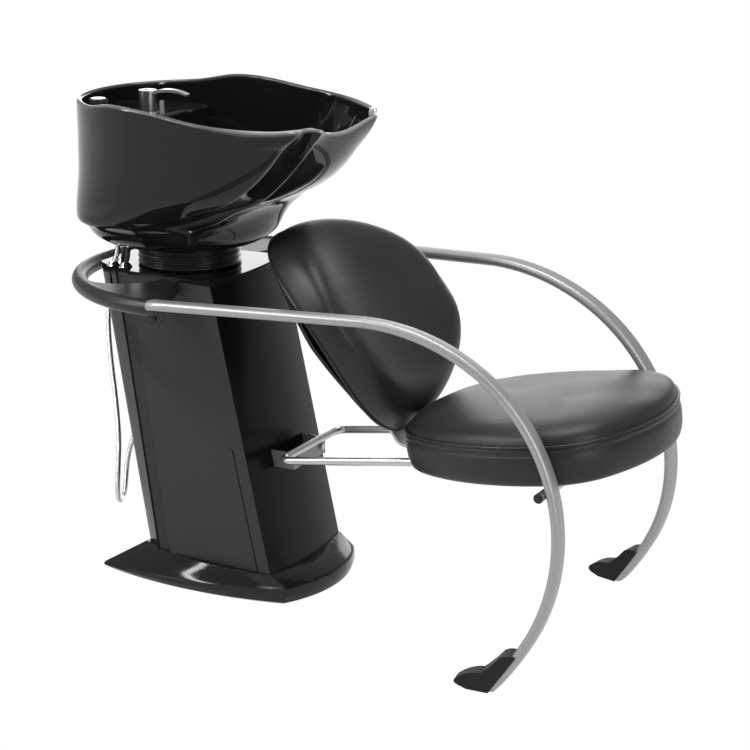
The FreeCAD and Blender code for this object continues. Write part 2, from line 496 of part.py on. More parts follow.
def make_yoke(tube):
    centre, join, side_centre, side_r, heading = yoke_course()
    up, across = vec(0, 0, 1), vec(math.cos(heading), math.sin(heading), 0)
    normal = vec(-math.sin(heading), math.cos(heading), 0)
    section = Part.Face(slot_wire(join, up, normal, YOKE_T, YOKE_W))
    side = section.revolve(side_centre, up, -math.degrees(heading))
    rear = section.revolve(centre, up, YOKE_REAR_TURN * 2)
    last = Part.Face(slot_wire(side_centre + vec(0, side_r, 0), up, vec(0, 1, 0), YOKE_T, YOKE_W))
    tail = last.extrude(vec(YOKE_END_X - side_centre.x, 0, 0))
    # web from the arm in to the column's flank, its rear edge swept in a curve
    arm_y = TUBE_REAR_Y - YOKE_END_IN
    root_y = SIDE_HALF_W - WEB_ROOT_IN
    rise = vec(0, 0, WEB_TOP_Z - YOKE_Z)
    a, b = vec(WEB_FRONT_X, root_y, WEB_TOP_Z), vec(YOKE_END_X - RIB_T, arm_y, WEB_TOP_Z)
    c, start = vec(side_centre.x, arm_y, WEB_TOP_Z), join + rise
    swing = vec(-math.sin(heading / 2), math.cos(heading / 2), 0) * side_r
    d = vec(WEB_REAR_X, root_y, WEB_TOP_Z)
    bow = vec(WEB_MID_X, WEB_MID_Y, WEB_TOP_Z)
    edge = [line(a, b), line(b, c), arc(c, side_centre + rise + swing, start), arc(start, bow, d), line(d, a)]
    web = Part.Face(Part.Wire(edge)).extrude(vec(0, 0, -WEB_T))
    # ribs under the arm's end
    low = YOKE_Z - YOKE_T / 2
    ribs = [box(YOKE_END_X - RIB_GAP * k - RIB_T, YOKE_END_X - RIB_GAP * k, arm_y - YOKE_W / 2,
                arm_y + YOKE_W / 4, low - RIB_H, low + RIB_H) for k in (0, 1)]
    half = side.fuse([tail, web] + ribs)
    yoke = rear.fuse([half, mirrored(half)])
    yoke = yoke.cut(tube).cut(mirrored(tube)).cut(column_solid(SKIRT_H, COLUMN_TOP + CAP_T, 0))
    seat = vec(SCREW_X, arm_y + YOKE_W / 4, low)
    hole = rod(SCREW_R, seat - vec(0, 0, CUT), seat + vec(0, 0, CUT))
    yoke = yoke.cut(hole).cut(mirrored(hole))
    pieces = sorted(yoke.Solids, key=lambda item: item.Volume)
    save("rear_yoke", pieces[-1])
    # the screw comes up through the arm into the tube
    top = TUBE_REAR_Z - TUBE_T / 2 + TUBE_WALL
    screw = rod(SCREW_HEAD_R, seat - vec(0, 0, SCREW_HEAD_T), seat)
    screw = screw.fuse(rod(SCREW_R, seat, vec(seat.x, seat.y, top - TUBE_WALL))).removeSplitter()
    save_pair("yoke_screw", screw.cut(tube))


# seat, its board, the bar between the legs and the lower U tube
def seat_axes():
    tilt = math.radians(SEAT_TILT)
    return vec(math.cos(tilt), 0, math.sin(tilt)), vec(-math.sin(tilt), 0, math.cos(tilt))


def quarter(length, width, end_r, side_r, corner_r):
    # from (length, 0) round a corner to (0, width): three arcs that run into each other
    c1, c2 = (length - end_r, 0.0), (0.0, width - side_r)
    a, b = end_r - corner_r, side_r - corner_r
    dx, dy = c2[0] - c1[0], c2[1] - c1[1]
    d = math.hypot(dx, dy)
    t = (a * a - b * b + d * d) / (d * 2)
    h = math.sqrt(a * a - t * t)
    cx = c1[0] + (dx * t - dy * h) / d
    cy = c1[1] + (dy * t + dx * h) / d

    def polar(c, r, turn):
        return (c[0] + r * math.cos(turn), c[1] + r * math.sin(turn))
    t1 = math.atan2(cy - c1[1], cx - c1[0])
    t2 = math.atan2(cy - c2[1], cx - c2[0])
    return [(length, 0.0), polar(c1, end_r, t1 / 2), polar(c1, end_r, t1),
            polar((cx, cy), corner_r, (t1 + t2) / 2), polar(c2, side_r, t2),
            polar(c2, side_r, (t2 + math.pi / 2) / 2), (0.0, width)]


def seat_ring(inset, lift):
    # outline of twelve arcs, widest a little in front of the middle
    along, up = seat_axes()
    size = 1 - inset / SEAT_HALF_W
    centre = vec(SEAT_X, 0, SEAT_Z) + up * lift + along * SEAT_WIDE_AT
    side = [SEAT_HALF_W * size, SEAT_FRONT_R * size, SEAT_SIDE_R * size, SEAT_CORNER_R * size]
    front = quarter((SEAT_HALF_L - SEAT_WIDE_AT) * size, *side)
    rear = quarter((SEAT_HALF_L + SEAT_WIDE_AT) * size, *side)
    loop = [(u, w) for u, w in front] + [(-u, w) for u, w in reversed(rear[:-1])]
    loop += [(-u, -w) for u, w in rear[1:]] + [(u, -w) for u, w in reversed(front[:-1])]
    pts = [centre + along * u + vec(0, w, 0) for u, w in loop]
    return Part.Wire([arc(pts[k], pts[k + 1], pts[k + 2]) for k in range(0, len(pts) - 2, 2)])


def make_seat(cutters):
    rings = [seat_ring(SEAT_TUCK, -SEAT_H), seat_ring(SEAT_TUCK / 4, -SEAT_H + SEAT_ROLL),
             seat_ring(-SEAT_BELLY, -SEAT_H / 2), seat_ring(0, 0)]
    for size, height in CROWN_SHARES:
        rings.append(seat_ring((1 - size) * SEAT_HALF_W, height * SEAT_CROWN))
    cushion = Part.makeLoft(rings, True, True)
    along, up = seat_axes()
    hollow = Part.Face(seat_ring(BOARD_IN, -SEAT_H - SEAT_ROLL)).extrude(up * (BOARD_UP + SEAT_ROLL))
    board = Part.Face(seat_ring(BOARD_IN + SLIP, -SEAT_H + BOARD_UP - BOARD_T)).extrude(up * BOARD_T)
    # a way out under the rear edge for the backrest's strap
    def spot(u, v):
        return vec(SEAT_X, 0, SEAT_Z) + along * u + up * v
    rear, low, top = -SEAT_HALF_L, -SEAT_H - SEAT_ROLL, -SEAT_H + BOARD_UP - BOARD_T + SLIP
    inner = rear + BOARD_IN * 2
    way = Part.makePolygon([spot(rear - CUT, low), spot(inner, low), spot(inner, top),
                            spot(rear - CUT, top), spot(rear - CUT, low)])
    way.translate(vec(0, -STRAP_W / 2 - SLIP, 0))
    cushion = cushion.cut(hollow).cut(Part.Face(way).extrude(vec(0, STRAP_W + SLIP * 2, 0)))
    save("seat_cushion", cushion.cut(cutters))
    save("seat_board", board)


def board_under(x):
    # height of the board's underside at x
    along, up = seat_axes()
    low = vec(SEAT_X, 0, SEAT_Z) - up * (SEAT_H - BOARD_UP + BOARD_T)
    return low.z + (x - low.x) * math.tan(math.radians(SEAT_TILT))


def make_seat_bar(tube):
    # the bar lies against the rear faces of both legs
    spot = leg_point(BAR_Z)
    e1, e2, n = tube_frame()
    x = spot.x - TUBE_T / 2 - BAR_R
    tip = spot.y + TUBE_W / 2 + BAR_OVER
    bar = pipe(BAR_R, BAR_WALL, vec(x, -tip, BAR_Z), vec(x, tip, BAR_Z))
    save("seat_crossbar", bar.cut(tube).cut(mirrored(tube)))
    bolt = rod(BAR_BOLT_R, vec(x, tip - BAR_BOLT_T, BAR_Z), vec(x, tip + BAR_BOLT_T, BAR_Z))
    bolt = bolt.fuse(rod(BAR_R, vec(x, tip, BAR_Z), vec(x, tip + BAR_BOLT_T / 2, BAR_Z))).removeSplitter()
    save_pair("crossbar_bolt", bolt)
    # saddles: a plate from the board down, cut out round the bar
    along, up = seat_axes()
    half = SADDLE_W / 2
    under = board_under(x)
    plate = box(x - half, x + half, SADDLE_Y, SADDLE_Y + SADDLE_T, BAR_Z, under + CUT)
    flange = box(x - half, x + half, SADDLE_Y, SADDLE_Y + SADDLE_W, BAR_Z + BAR_R, under + CUT)
    slab = Part.Face(seat_ring(BOARD_IN, -SEAT_H + BOARD_UP - BOARD_T)).extrude(up * -SADDLE_T)
    cover = Part.Face(seat_ring(-CUT, -SEAT_H + BOARD_UP - BOARD_T)).extrude(up * CUT * 3)
    saddle = plate.cut(cover).fuse(flange.common(slab)).removeSplitter()
    saddle = saddle.cut(rod(BAR_R, vec(x, 0, BAR_Z), vec(x, tip, BAR_Z)))
    save_pair("seat_saddle", sorted(saddle.Solids, key=lambda item: item.Volume)[-1])
    return rod(BAR_R + SLIP, vec(x, -tip, BAR_Z), vec(x, tip, BAR_Z))


def u_tube(r, wall):
    along, up = seat_axes()
    drop = U_TUBE_R / math.cos(math.radians(SEAT_TILT))
    front_x = SEAT_X - SEAT_HALF_L + U_FRONT_IN
    rear = vec(U_REAR_X, 0, board_under(U_REAR_X) - drop)
    tip = vec(front_x, U_HALF_W, board_under(front_x) - drop)
    heel = rear + vec(0, U_HALF_W - U_CORNER_R, 0)
    pivot = heel + along * U_CORNER_R
    knee = pivot + vec(0, U_CORNER_R, 0)

    def section(centre, way):
        ring = Part.Face(Part.Wire([Part.Circle(centre, way, r).toShape()]))
        if not wall:
            return ring
        hole = Part.Face(Part.Wire([Part.Circle(centre, way, r - wall).toShape()]))
        return ring.cut(hole).Faces[0]
    bend = section(heel, vec(0, 1, 0)).revolve(pivot, up, -90)
    leg = section(knee, along).extrude(tip - knee)
    cross = section(heel, vec(0, 1, 0)).extrude(vec(0, -heel.y * 2, 0))
    return cross.fuse([bend, leg, mirrored(bend), mirrored(leg)]), rear.z


def make_u_channel(z0, tube):
    # folded channel: its web hangs below the cross tube, its flanges reach the column
    low, half = z0 - U_CHANNEL_H, U_CHANNEL_W / 2
    front = U_REAR_X + U_CHANNEL_T / 2
    rear = column_front_x(COLUMN_TOP)
    outer = box(rear, front, -half, half, low, z0)
    inner = box(rear - CUT, front - U_CHANNEL_T, -half + U_CHANNEL_T, half - U_CHANNEL_T, low - CUT, z0 + CUT)
    channel = outer.cut(inner).cut(column_solid(SKIRT_H, COLUMN_TOP, 0)).cut(tube)
    save("u_channel", sorted(channel.Solids, key=lambda item: item.Volume)[-1])
    y, z = half - U_BOLT_IN, low + U_CHANNEL_H / 2
    save_pair("u_bolt", rod(U_BOLT_R, vec(front, y, z), vec(front + U_BOLT_HEAD_T, y, z)))


# backrest
def back_axes():
    lean = math.radians(BACK_LEAN)
    return vec(-math.sin(lean), 0, math.cos(lean)), vec(math.cos(lean), 0, math.sin(lean))


def back_place(s, y, h):
    up, out = back_axes()
    return vec(BACK_X, y, BACK_Z) + up * s + out * h


def back_section(share, lift, front, rear, inset):
    # lens in the plane at this distance from the middle; the upper end is the narrower
    y = share * (BACK_HALF_W - inset)
    length = (BACK_HALF_L - inset) * math.sqrt(1 - share * share)
    shift = -BACK_TAPER_SHARE * BACK_HALF_L * share * share
    wrap = BACK_WRAP * share * share + lift
    full = front * (1 - abs(share) ** 3) ** (1 / 3)
    edge, rise = BACK_EDGE_SHARE * length, BACK_FULL_SHARE * full
    a, b = back_place(shift - length, y, wrap), back_place(shift + length, y, wrap)
    c, d = back_place(shift - edge, y, wrap + rise), back_place(shift + edge, y, wrap + rise)
    swell = (length + edge) / 2 + rise * (1 - BACK_EDGE_SHARE) / 2
    low, high = back_place(shift - swell, y, wrap + rise / 2), back_place(shift + swell, y, wrap + rise / 2)
    return Part.Wire([arc(a, low, c), arc(c, back_place(shift, y, wrap + full), d), arc(d, high, b),
                      arc(b, back_place(shift, y, wrap - rear), a)])


def shell_section(share):
    # the shell follows the cushion's rear face
    y = share * (BACK_HALF_W - BACK_EDGE)
    length = (BACK_HALF_L - BACK_EDGE) * math.sqrt(1 - share * share)
    shift = -BACK_TAPER_SHARE * BACK_HALF_L * share * share
    wrap = BACK_WRAP * (y / BACK_HALF_W) ** 2 - SLIP
    # the shell's edge lies on the cushion's bowed rear face
    reach = length / (BACK_HALF_L * math.sqrt(1 - (y / BACK_HALF_W) ** 2))
    rim = wrap - BACK_REAR * (1 - reach * reach)
    a, b = back_place(shift - length, y, rim), back_place(shift + length, y, rim)
    mid_in, mid_out = wrap - BACK_REAR, wrap - BACK_REAR - SHELL_T
    step = (back_place(0, 0, -SHELL_T) - back_place(0, 0, 0)) / 2
    return Part.Wire([arc(a, back_place(shift, y, mid_in), b), line(b, b + step),
                      arc(b + step, back_place(shift, y, mid_out), a + step), line(a + step, a)])


def make_backrest():
    cushion = Part.makeLoft([back_section(s, 0, BACK_DEPTH, BACK_REAR, 0) for s in BACK_STATION_SHARES],
                            True, False)
    save("backrest_cushion", cushion)
    shell = Part.makeLoft([shell_section(s) for s in BACK_STATION_SHARES], True, False)
    save("backrest_shell", shell)
    # steel strap: under the seat board, round a bend and up behind the shell
    along, up_seat = seat_axes()
    up, out = back_axes()
    behind = STRAP_TUCK - BACK_REAR - SHELL_T - STRAP_T / 2 - SLIP
    low_x = SEAT_X - SEAT_HALF_L + STRAP_UNDER
    drop = STRAP_T / 2 / math.cos(math.radians(SEAT_TILT))
    start = vec(low_x, 0, board_under(low_x) - drop)
    top = back_place(-BACK_HALF_L + STRAP_UP, 0, behind)
    # corner where the two straight runs would meet
    gap = top - start
    det = along.x * up.z - along.z * up.x
    run = (gap.x * up.z - gap.z * up.x) / det
    corner = start + along * run
    turn = math.acos(max(-1, min(1, (along * -1).dot(up))))
    trim = STRAP_BEND_R * math.tan(turn / 2)
    p1, p2 = corner - (corner - start).normalize() * trim, corner + (top - corner).normalize() * trim
    centre = p1 + up_seat * STRAP_BEND_R
    half = STRAP_W / 2

    def section(at, way, thick_way):
        wide, thick = vec(0, half, 0), thick_way * (STRAP_T / 2)
        corners = [at - wide - thick, at + wide - thick, at + wide + thick, at - wide + thick]
        return Part.Face(Part.makePolygon(corners + [corners[0]]))
    flat = section(start, along, up_seat).extrude(p1 - start)
    bend = section(p1, along, up_seat).revolve(centre, vec(0, 1, 0), math.degrees(turn))
    upright = section(p2, up, (p2 - centre).normalize()).extrude(top - p2)
    save("backrest_bracket", flat.fuse([bend, upright]).removeSplitter())


# basin
def bowl_level(shares):
    # one row of the table in real sizes
    z, rear, wide, x0, x1, ox, oy, ix, iy, front = shares
    return (BOWL_LOW_Z + z * BOWL_H, -rear * BOWL_REAR, wide * BOWL_HALF_W, x0 * BOWL_FRONT, x1 * BOWL_FRONT,
            ox * BOWL_FRONT, oy * BOWL_HALF_W, ix * BOWL_FRONT, iy * BOWL_HALF_W, front * BOWL_FRONT)


def bowl_wire(level, inset, z=None):
    level_z, rear, wide, x0, x1, ox, oy, ix, iy, front = level
    z = level_z if z is None else z
    rear, wide, front = rear + inset, wide - inset, front - inset
    ox, oy = ox - inset * FLUTE_IN_SHARE, oy - inset * FLUTE_IN_SHARE
    ix, iy = ix - inset, iy - inset / 2
    # side arc leaves the straight at x1 and passes through the outer crease
    dx, dy = ox - x1, wide - oy
    r = (dx * dx + dy * dy) / (dy * 2)
    half_turn = math.asin(min(1, dx / r)) / 2
    side_mid = (x1 + r * math.sin(half_turn), wide - r + r * math.cos(half_turn))

    def ellipse(turn):
        return (x0 - (x0 - rear) * math.sin(turn), wide * math.cos(turn))
    q = math.pi / 8
    flute = ((ox + ix) / 2 - FLUTE_BOW_SHARE * (oy - iy), (oy + iy) / 2 - FLUTE_BOW_SHARE * (ix - ox))
    pts = [(rear, 0.0), ellipse(q * 3), ellipse(q * 2), ellipse(q), (x0, wide)]
    half = [vec(x, y, z) for x, y in pts]
    other = [vec(p.x, -p.y, p.z) for p in half]
    s0, s1, s2 = vec(x1, wide, z), vec(side_mid[0], side_mid[1], z), vec(ox, oy, z)
    f1, f2 = vec(flute[0], flute[1], z), vec(ix, iy, z)

    def flip(p):
        return vec(p.x, -p.y, p.z)
    edges = [arc(half[0], half[1], half[2]), arc(half[2], half[3], half[4]), line(half[4], s0),
             arc(s0, s1, s2), arc(s2, f1, f2), arc(f2, vec(front, 0, z), flip(f2)),
             arc(flip(f2), flip(f1), flip(s2)), arc(flip(s2), flip(s1), flip(s0)),
             line(flip(s0), other[4]), arc(other[4], other[3], other[2]), arc(other[2], other[1], other[0])]
    return Part.Wire(edges)


def bowl_levels():
    # from the top down
    return [bowl_level(shares) for shares in BOWL_LEVEL_SHARES]


def level_at(z):
    # the outline between two levels, mixed evenly
    levels = bowl_levels()
    for high, low in zip(levels, levels[1:]):
        if high[0] >= z >= low[0]:
            t = (z - low[0]) / (high[0] - low[0])
            return tuple(b + (a - b) * t for a, b in zip(high, low))


def rim_tool():
    # everything above the rim line, seen from the side
    side = BOWL_HALF_W + CUT

    def p(x, z):
        return vec(x, -side, z)
    far, top = HORN_X + CUT, bowl_levels()[0][0] + CUT
    rear = -BOWL_REAR - CUT
    mid_x, mid_z = (RIM_STEP_X + RIM_WING_X) / 2, (RIM_REAR_Z + RIM_WING_Z) / 2
    bow = (RIM_WING_Z - RIM_REAR_Z) / 6
    wire = Part.Wire([
        line(p(rear, RIM_REAR_Z), p(RIM_STEP_X, RIM_REAR_Z)),
        arc(p(RIM_STEP_X, RIM_REAR_Z), p((RIM_STEP_X + mid_x) / 2, (RIM_REAR_Z + mid_z) / 2 - bow),
            p(mid_x, mid_z)),
        arc(p(mid_x, mid_z), p((mid_x + RIM_WING_X) / 2, (mid_z + RIM_WING_Z) / 2 + bow),
            p(RIM_WING_X, RIM_WING_Z)),
        arc(p(RIM_WING_X, RIM_WING_Z), p(RIM_MID_X, RIM_MID_Z), p(RIM_FRONT_X, RIM_FRONT_Z)),
        line(p(RIM_FRONT_X, RIM_FRONT_Z), p(HORN_X, HORN_Z)), line(p(HORN_X, HORN_Z), p(far, HORN_Z)),
        line(p(far, HORN_Z), p(far, top)), line(p(far, top), p(rear, top)),
        line(p(rear, top), p(rear, RIM_REAR_Z))])
    return Part.Face(wire).extrude(vec(0, side * 2, 0))


def make_bowl(glands):
    levels = bowl_levels()[::-1]
    outer = Part.makeLoft([bowl_wire(level, 0) for level in levels], True, True)
    # the basin: rounded into its floor, then parallel to the outside
    rings = []
    for reach, rise in BASIN_ROUND_SHARES:
        z = BASIN_FLOOR_Z + BASIN_ROUND * rise
        rings.append(bowl_wire(level_at(z), BOWL_WALL + BASIN_ROUND_IN * reach, z))
    wall_from = BASIN_FLOOR_Z + BASIN_ROUND * 3 / 2
    rings += [bowl_wire(level, BOWL_WALL) for level in levels if level[0] > wall_from]
    basin = Part.makeLoft(rings, True, True)
    deck = box(-CUT * 8, DECK_X, -CUT * 8, CUT * 8, BASIN_FLOOR_Z - CUT, DECK_Z)
    basin = basin.cut(deck)
    # open space under the deck and under the basin floor, inside the pod
    hollow = [bowl_wire(level_at(DECK_CAVITY_LOW_Z), BOWL_WALL * 2, DECK_CAVITY_LOW_Z)]
    hollow += [bowl_wire(level, BOWL_WALL) for level in levels if DECK_CAVITY_LOW_Z < level[0] < DECK_Z]
    under = Part.makeLoft(hollow, True, True)
    keep = box(-CUT * 8, DECK_X - BOWL_WALL, -CUT * 8, CUT * 8, DECK_CAVITY_LOW_Z, DECK_Z - BOWL_WALL)
    under = under.common(keep)
    pod_top = BASIN_FLOOR_Z - BOWL_WALL
    pod = rod(POD_CAVITY_R, vec(0, 0, BOWL_LOW_Z - CUT), vec(0, 0, pod_top))
    link = box(DECK_X - CUT, DECK_X + CUT, -POD_CAVITY_R / 2, POD_CAVITY_R / 2, DECK_CAVITY_LOW_Z, pod_top)
    bowl = outer.cut(rim_tool()).cut(basin).cut(under.fuse([pod, link]))
    # neck recess between the horns
    dip_r = (LIP_DIP_HALF_W ** 2 + LIP_DIP ** 2) / (LIP_DIP * 2)
    low_z = HORN_Z - LIP_DIP
    dip = Part.makeCylinder(dip_r, CUT * 4, vec(RIM_FRONT_X, 0, low_z + dip_r), vec(1, 0, 0))
    bowl = bowl.cut(dip)
    # drain recess and holes through the deck
    floor = BASIN_FLOOR_Z
    bowl = bowl.cut(rod(DRAIN_RECESS_R, vec(DRAIN_X, 0, floor - DRAIN_RECESS), vec(DRAIN_X, 0, floor + CUT)))
    bowl = bowl.cut(rod(DRAIN_R, vec(DRAIN_X, 0, floor - CUT), vec(DRAIN_X, 0, floor)))
    for x, y, r in ((TAP_X, TAP_Y, TAP_STUD_R), (SPRAY_X, SPRAY_Y, HOLDER_R)):
        bowl = bowl.cut(rod(r, vec(x, y, DECK_Z - CUT), vec(x, y, DECK_Z + SLIP)))
    for gland in glands:
        bowl = bowl.cut(gland)
    save("bowl", sorted(bowl.Solids, key=lambda item: item.Volume)[-1])


def make_glands():
    names = ("shower_gland", "hot_gland", "cold_gland")
    glands = []
    for name, (x, y) in zip(names, BOWL_HOLES):
        glands.append(rod(GLAND_R, vec(x, y, GLAND_LOW_Z), vec(x, y, GLAND_TOP_Z)))
        bore = rod(HOSE_R, vec(x, y, GLAND_LOW_Z), vec(x, y, GLAND_TOP_Z))
        save(name, glands[-1].cut(bore))
    return glands


def make_drain():
    floor = BASIN_FLOOR_Z
    seat = floor - DRAIN_RECESS
    top = vec(DRAIN_X, 0, seat + TAIL_FLANGE_T)
    body = rod(TAIL_FLANGE_R, vec(DRAIN_X, 0, seat), top)
    body = body.fuse(rod(TAIL_R, vec(DRAIN_X, 0, TAIL_LOW_Z), top)).removeSplitter()
    body = body.cut(rod(TAIL_BORE_R, vec(DRAIN_X, 0, TAIL_LOW_Z - CUT), top + vec(0, 0, CUT)))
    save("drain_body", body)
    base = top.z
    strainer = rod(STRAINER_RIM_R, vec(DRAIN_X, 0, base), vec(DRAIN_X, 0, base + STRAINER_T))
    cup_r = STRAINER_CUP_R
    cup = rod(cup_r, vec(DRAIN_X, 0, base - STRAINER_CUP_H), vec(DRAIN_X, 0, base))
    strainer = strainer.fuse(cup).removeSplitter()
    strainer = strainer.cut(rod(cup_r - STRAINER_T, vec(DRAIN_X, 0, base - STRAINER_CUP_H + STRAINER_T),
                                vec(DRAIN_X, 0, base + CUT)))
    for k in range(STRAINER_HOLES):
        turn = math.pi * 2 * k / STRAINER_HOLES
        x, y = DRAIN_X + STRAINER_RING_R * math.cos(turn), STRAINER_RING_R * math.sin(turn)
        strainer = strainer.cut(rod(STRAINER_HOLE_R, vec(x, y, base - CUT), vec(x, y, base)))
    save("drain_strainer", strainer)


def make_tilt():
    low, hole = COLUMN_TOP, WASTE_HOLE_R
    base = rod(BASE_R, vec(0, 0, low), vec(0, 0, low + BASE_T))
    ear = box(-EAR_R, EAR_R, EAR_Y, EAR_Y + EAR_T, low, PIVOT_Z)
    ear = ear.fuse(rod(EAR_R, vec(0, EAR_Y, PIVOT_Z), vec(0, EAR_Y + EAR_T, PIVOT_Z)))
    base = base.fuse([ear, mirrored(ear)]).removeSplitter()
    base = base.cut(rod(hole, vec(DRAIN_X, 0, low - CUT), vec(DRAIN_X, 0, low + CUT)))
    base = base.cut(rod(PIN_R, vec(0, -EAR_Y * 2, PIVOT_Z), vec(0, EAR_Y * 2, PIVOT_Z)))
    save("tilt_base", base)
    top = BASIN_FLOOR_Z - BOWL_WALL
    head = rod(ARM_HEAD_R, vec(0, 0, top - ARM_HEAD_T), vec(0, 0, top))
    outer = EAR_Y - ARM_PLAY
    half = ARM_W / 2
    arm = box(-half, half, outer - ARM_T, outer, PIVOT_Z, top)
    arm = arm.fuse(rod(half, vec(0, outer - ARM_T, PIVOT_Z), vec(0, outer, PIVOT_Z)))
    head = head.fuse([arm, mirrored(arm)]).removeSplitter()
    head = head.cut(rod(TAIL_R + FIT, vec(DRAIN_X, 0, top - CUT), vec(DRAIN_X, 0, top + CUT)))
    head = head.cut(rod(PIN_R + FIT, vec(0, -EAR_Y, PIVOT_Z), vec(0, EAR_Y, PIVOT_Z)))
    save("tilt_head", head)
    inner, out = outer - ARM_T, EAR_Y + EAR_T
    pin = rod(PIN_R, vec(0, inner, PIVOT_Z), vec(0, out, PIVOT_Z))
    pin = pin.fuse(rod(PIN_HEAD_R, vec(0, out, PIVOT_Z), vec(0, out + PIN_HEAD_T, PIVOT_Z))).removeSplitter()
    save_pair("tilt_pin", pin)


def make_sleeve():
    # ribbed sleeve: ruled through four circles a rib, hollow, open at both ends
    low, top = COLUMN_TOP + CAP_T, BOWL_LOW_Z - SLIP
    pitch = (top - low) / SLEEVE_RIBS

    def ring(r, z):
        return Part.Wire([Part.Circle(vec(0, 0, z), vec(0, 0, 1), r).toShape()])

    def skin(inset):
        wires = []
        for k in range(SLEEVE_RIBS):
            z = low + pitch * k
            for place, out in RIB_SHARES:
                wires.append(ring(SLEEVE_R - SLEEVE_RIB * (1 - out) - inset, z + pitch * place))
        wires.append(ring(SLEEVE_R - SLEEVE_RIB - inset, top))
        return Part.makeLoft(wires, True, True)
    save("neck_sleeve", skin(0).cut(skin(SLEEVE_WALL)))


def make_tap():
    deck = DECK_Z
    foot = rod(TAP_FOOT_R, vec(TAP_X, TAP_Y, deck), vec(TAP_X, TAP_Y, deck + TAP_FOOT_H))
    tower = rod(TAP_R, vec(TAP_X, TAP_Y, deck), vec(TAP_X, TAP_Y, deck + TAP_FOOT_H + TAP_H))
    stud = rod(TAP_STUD_R, vec(TAP_X, TAP_Y, deck - BOWL_WALL - TAP_NUT_T), vec(TAP_X, TAP_Y, deck))
    save("mixer_body", foot.fuse([tower, stud]).removeSplitter())
    under = deck - BOWL_WALL
    nut = rod(TAP_NUT_R, vec(TAP_X, TAP_Y, under - TAP_NUT_T), vec(TAP_X, TAP_Y, under))
    nut = nut.cut(rod(TAP_STUD_R, vec(TAP_X, TAP_Y, under - CUT), vec(TAP_X, TAP_Y, under + CUT)))
    save("mixer_nut", nut)
    base = deck + TAP_FOOT_H + TAP_H + TAP_GAP
    cap = rod(TAP_CAP_R, vec(TAP_X, TAP_Y, base), vec(TAP_X, TAP_Y, base + TAP_CAP_H))
    # slot for the lever, which rocks on a cross pin
    half = LEVER_W / 2
    slot = box(TAP_X - TAP_R / 2, TAP_X + TAP_CAP_R * 2, TAP_Y - half - LEVER_SLOT, TAP_Y + half + LEVER_SLOT,
               base + LEVER_Z - LEVER_DIP, base + TAP_CAP_H + CUT)
    cap = cap.cut(slot)
    pin_z = base + LEVER_Z + LEVER_T / 2
    bore = rod(LEVER_PIN_R, vec(TAP_X, TAP_Y - TAP_CAP_R, pin_z), vec(TAP_X, TAP_Y + TAP_CAP_R, pin_z))
    save("mixer_cap", cap.cut(bore))
    reach = math.sqrt(TAP_CAP_R ** 2 - LEVER_PIN_R ** 2) - LEVER_SLOT
    pin = rod(LEVER_PIN_R, vec(TAP_X, TAP_Y - reach, pin_z), vec(TAP_X, TAP_Y + reach, pin_z))
    save("lever_pin", pin)
    low = base + LEVER_Z
    mid, tip = TAP_X + LEVER_L / 2, TAP_X + LEVER_L
    back = TAP_X - LEVER_T / 2
    edge = TAP_X + TAP_CAP_R

    def spot(x, share):
        return vec(x, 0, low + LEVER_T * share)
    under, over, mid_point = spot(tip, 1 / 4), spot(tip, 3 / 4), spot(mid, 2)
    profile = [line(spot(back, 0), spot(edge, 0)), arc(spot(edge, 0), spot(mid, 1), under), line(under, over),
               arc(over, mid_point, spot(edge, 1)), line(spot(edge, 1), spot(back, 1)),
               arc(spot(back, 1), spot(back - LEVER_T / 2, 1 / 2), spot(back, 0))]
    lever = Part.Face(Part.Wire(profile)).extrude(vec(0, LEVER_W, 0))
    lever.translate(vec(0, TAP_Y - LEVER_W / 2, 0))
    save("mixer_lever", lever.cut(rod(LEVER_PIN_R + FIT, vec(TAP_X, 0, pin_z), vec(TAP_X, TAP_Y * 2, pin_z))))


def make_spray():
    deck, x, y = DECK_Z, SPRAY_X, SPRAY_Y
    holder = rod(HOLDER_FLANGE_R, vec(x, y, deck), vec(x, y, deck + HOLDER_FLANGE_T))
    holder = holder.fuse(rod(HOLDER_R, vec(x, y, deck - HOLDER_DEPTH), vec(x, y, deck))).removeSplitter()
    bore_r = HOLDER_R - HOLDER_WALL
    holder = holder.cut(rod(bore_r, vec(x, y, deck - CUT), vec(x, y, deck + CUT)))
    save("spray_holder", holder)
    grip_r, top = bore_r - GRIP_GAP, deck + HOLDER_FLANGE_T
    spray = rod(grip_r, vec(x, y, deck - GRIP_LOW), vec(x, y, top + SLIP))
    neck = Part.makeCone(grip_r + HOLDER_WALL / 2, SPRAY_HEAD_R, SPRAY_NECK, vec(x, y, top + SLIP))
    head_low = top + SLIP + SPRAY_NECK
    head = rod(SPRAY_HEAD_R, vec(x, y, head_low), vec(x, y, head_low + SPRAY_HEAD_L))
    save("shower_handset", spray.fuse([neck, head]).removeSplitter())
    head_top = head_low + SPRAY_HEAD_L
    save("spray_face", rod(SPRAY_FACE_R, vec(x, y, head_top), vec(x, y, head_top + HOLDER_WALL / 2)))


# hoses
def outlet_rod(r, y, z, back, out):
    # a round bar through the column's rear wall, sloping down and back
    way = vec(-1, 0, -1).normalize()
    at = vec(column_rear_x(z), y, z)
    return rod(r, at - way * back, at + way * out)


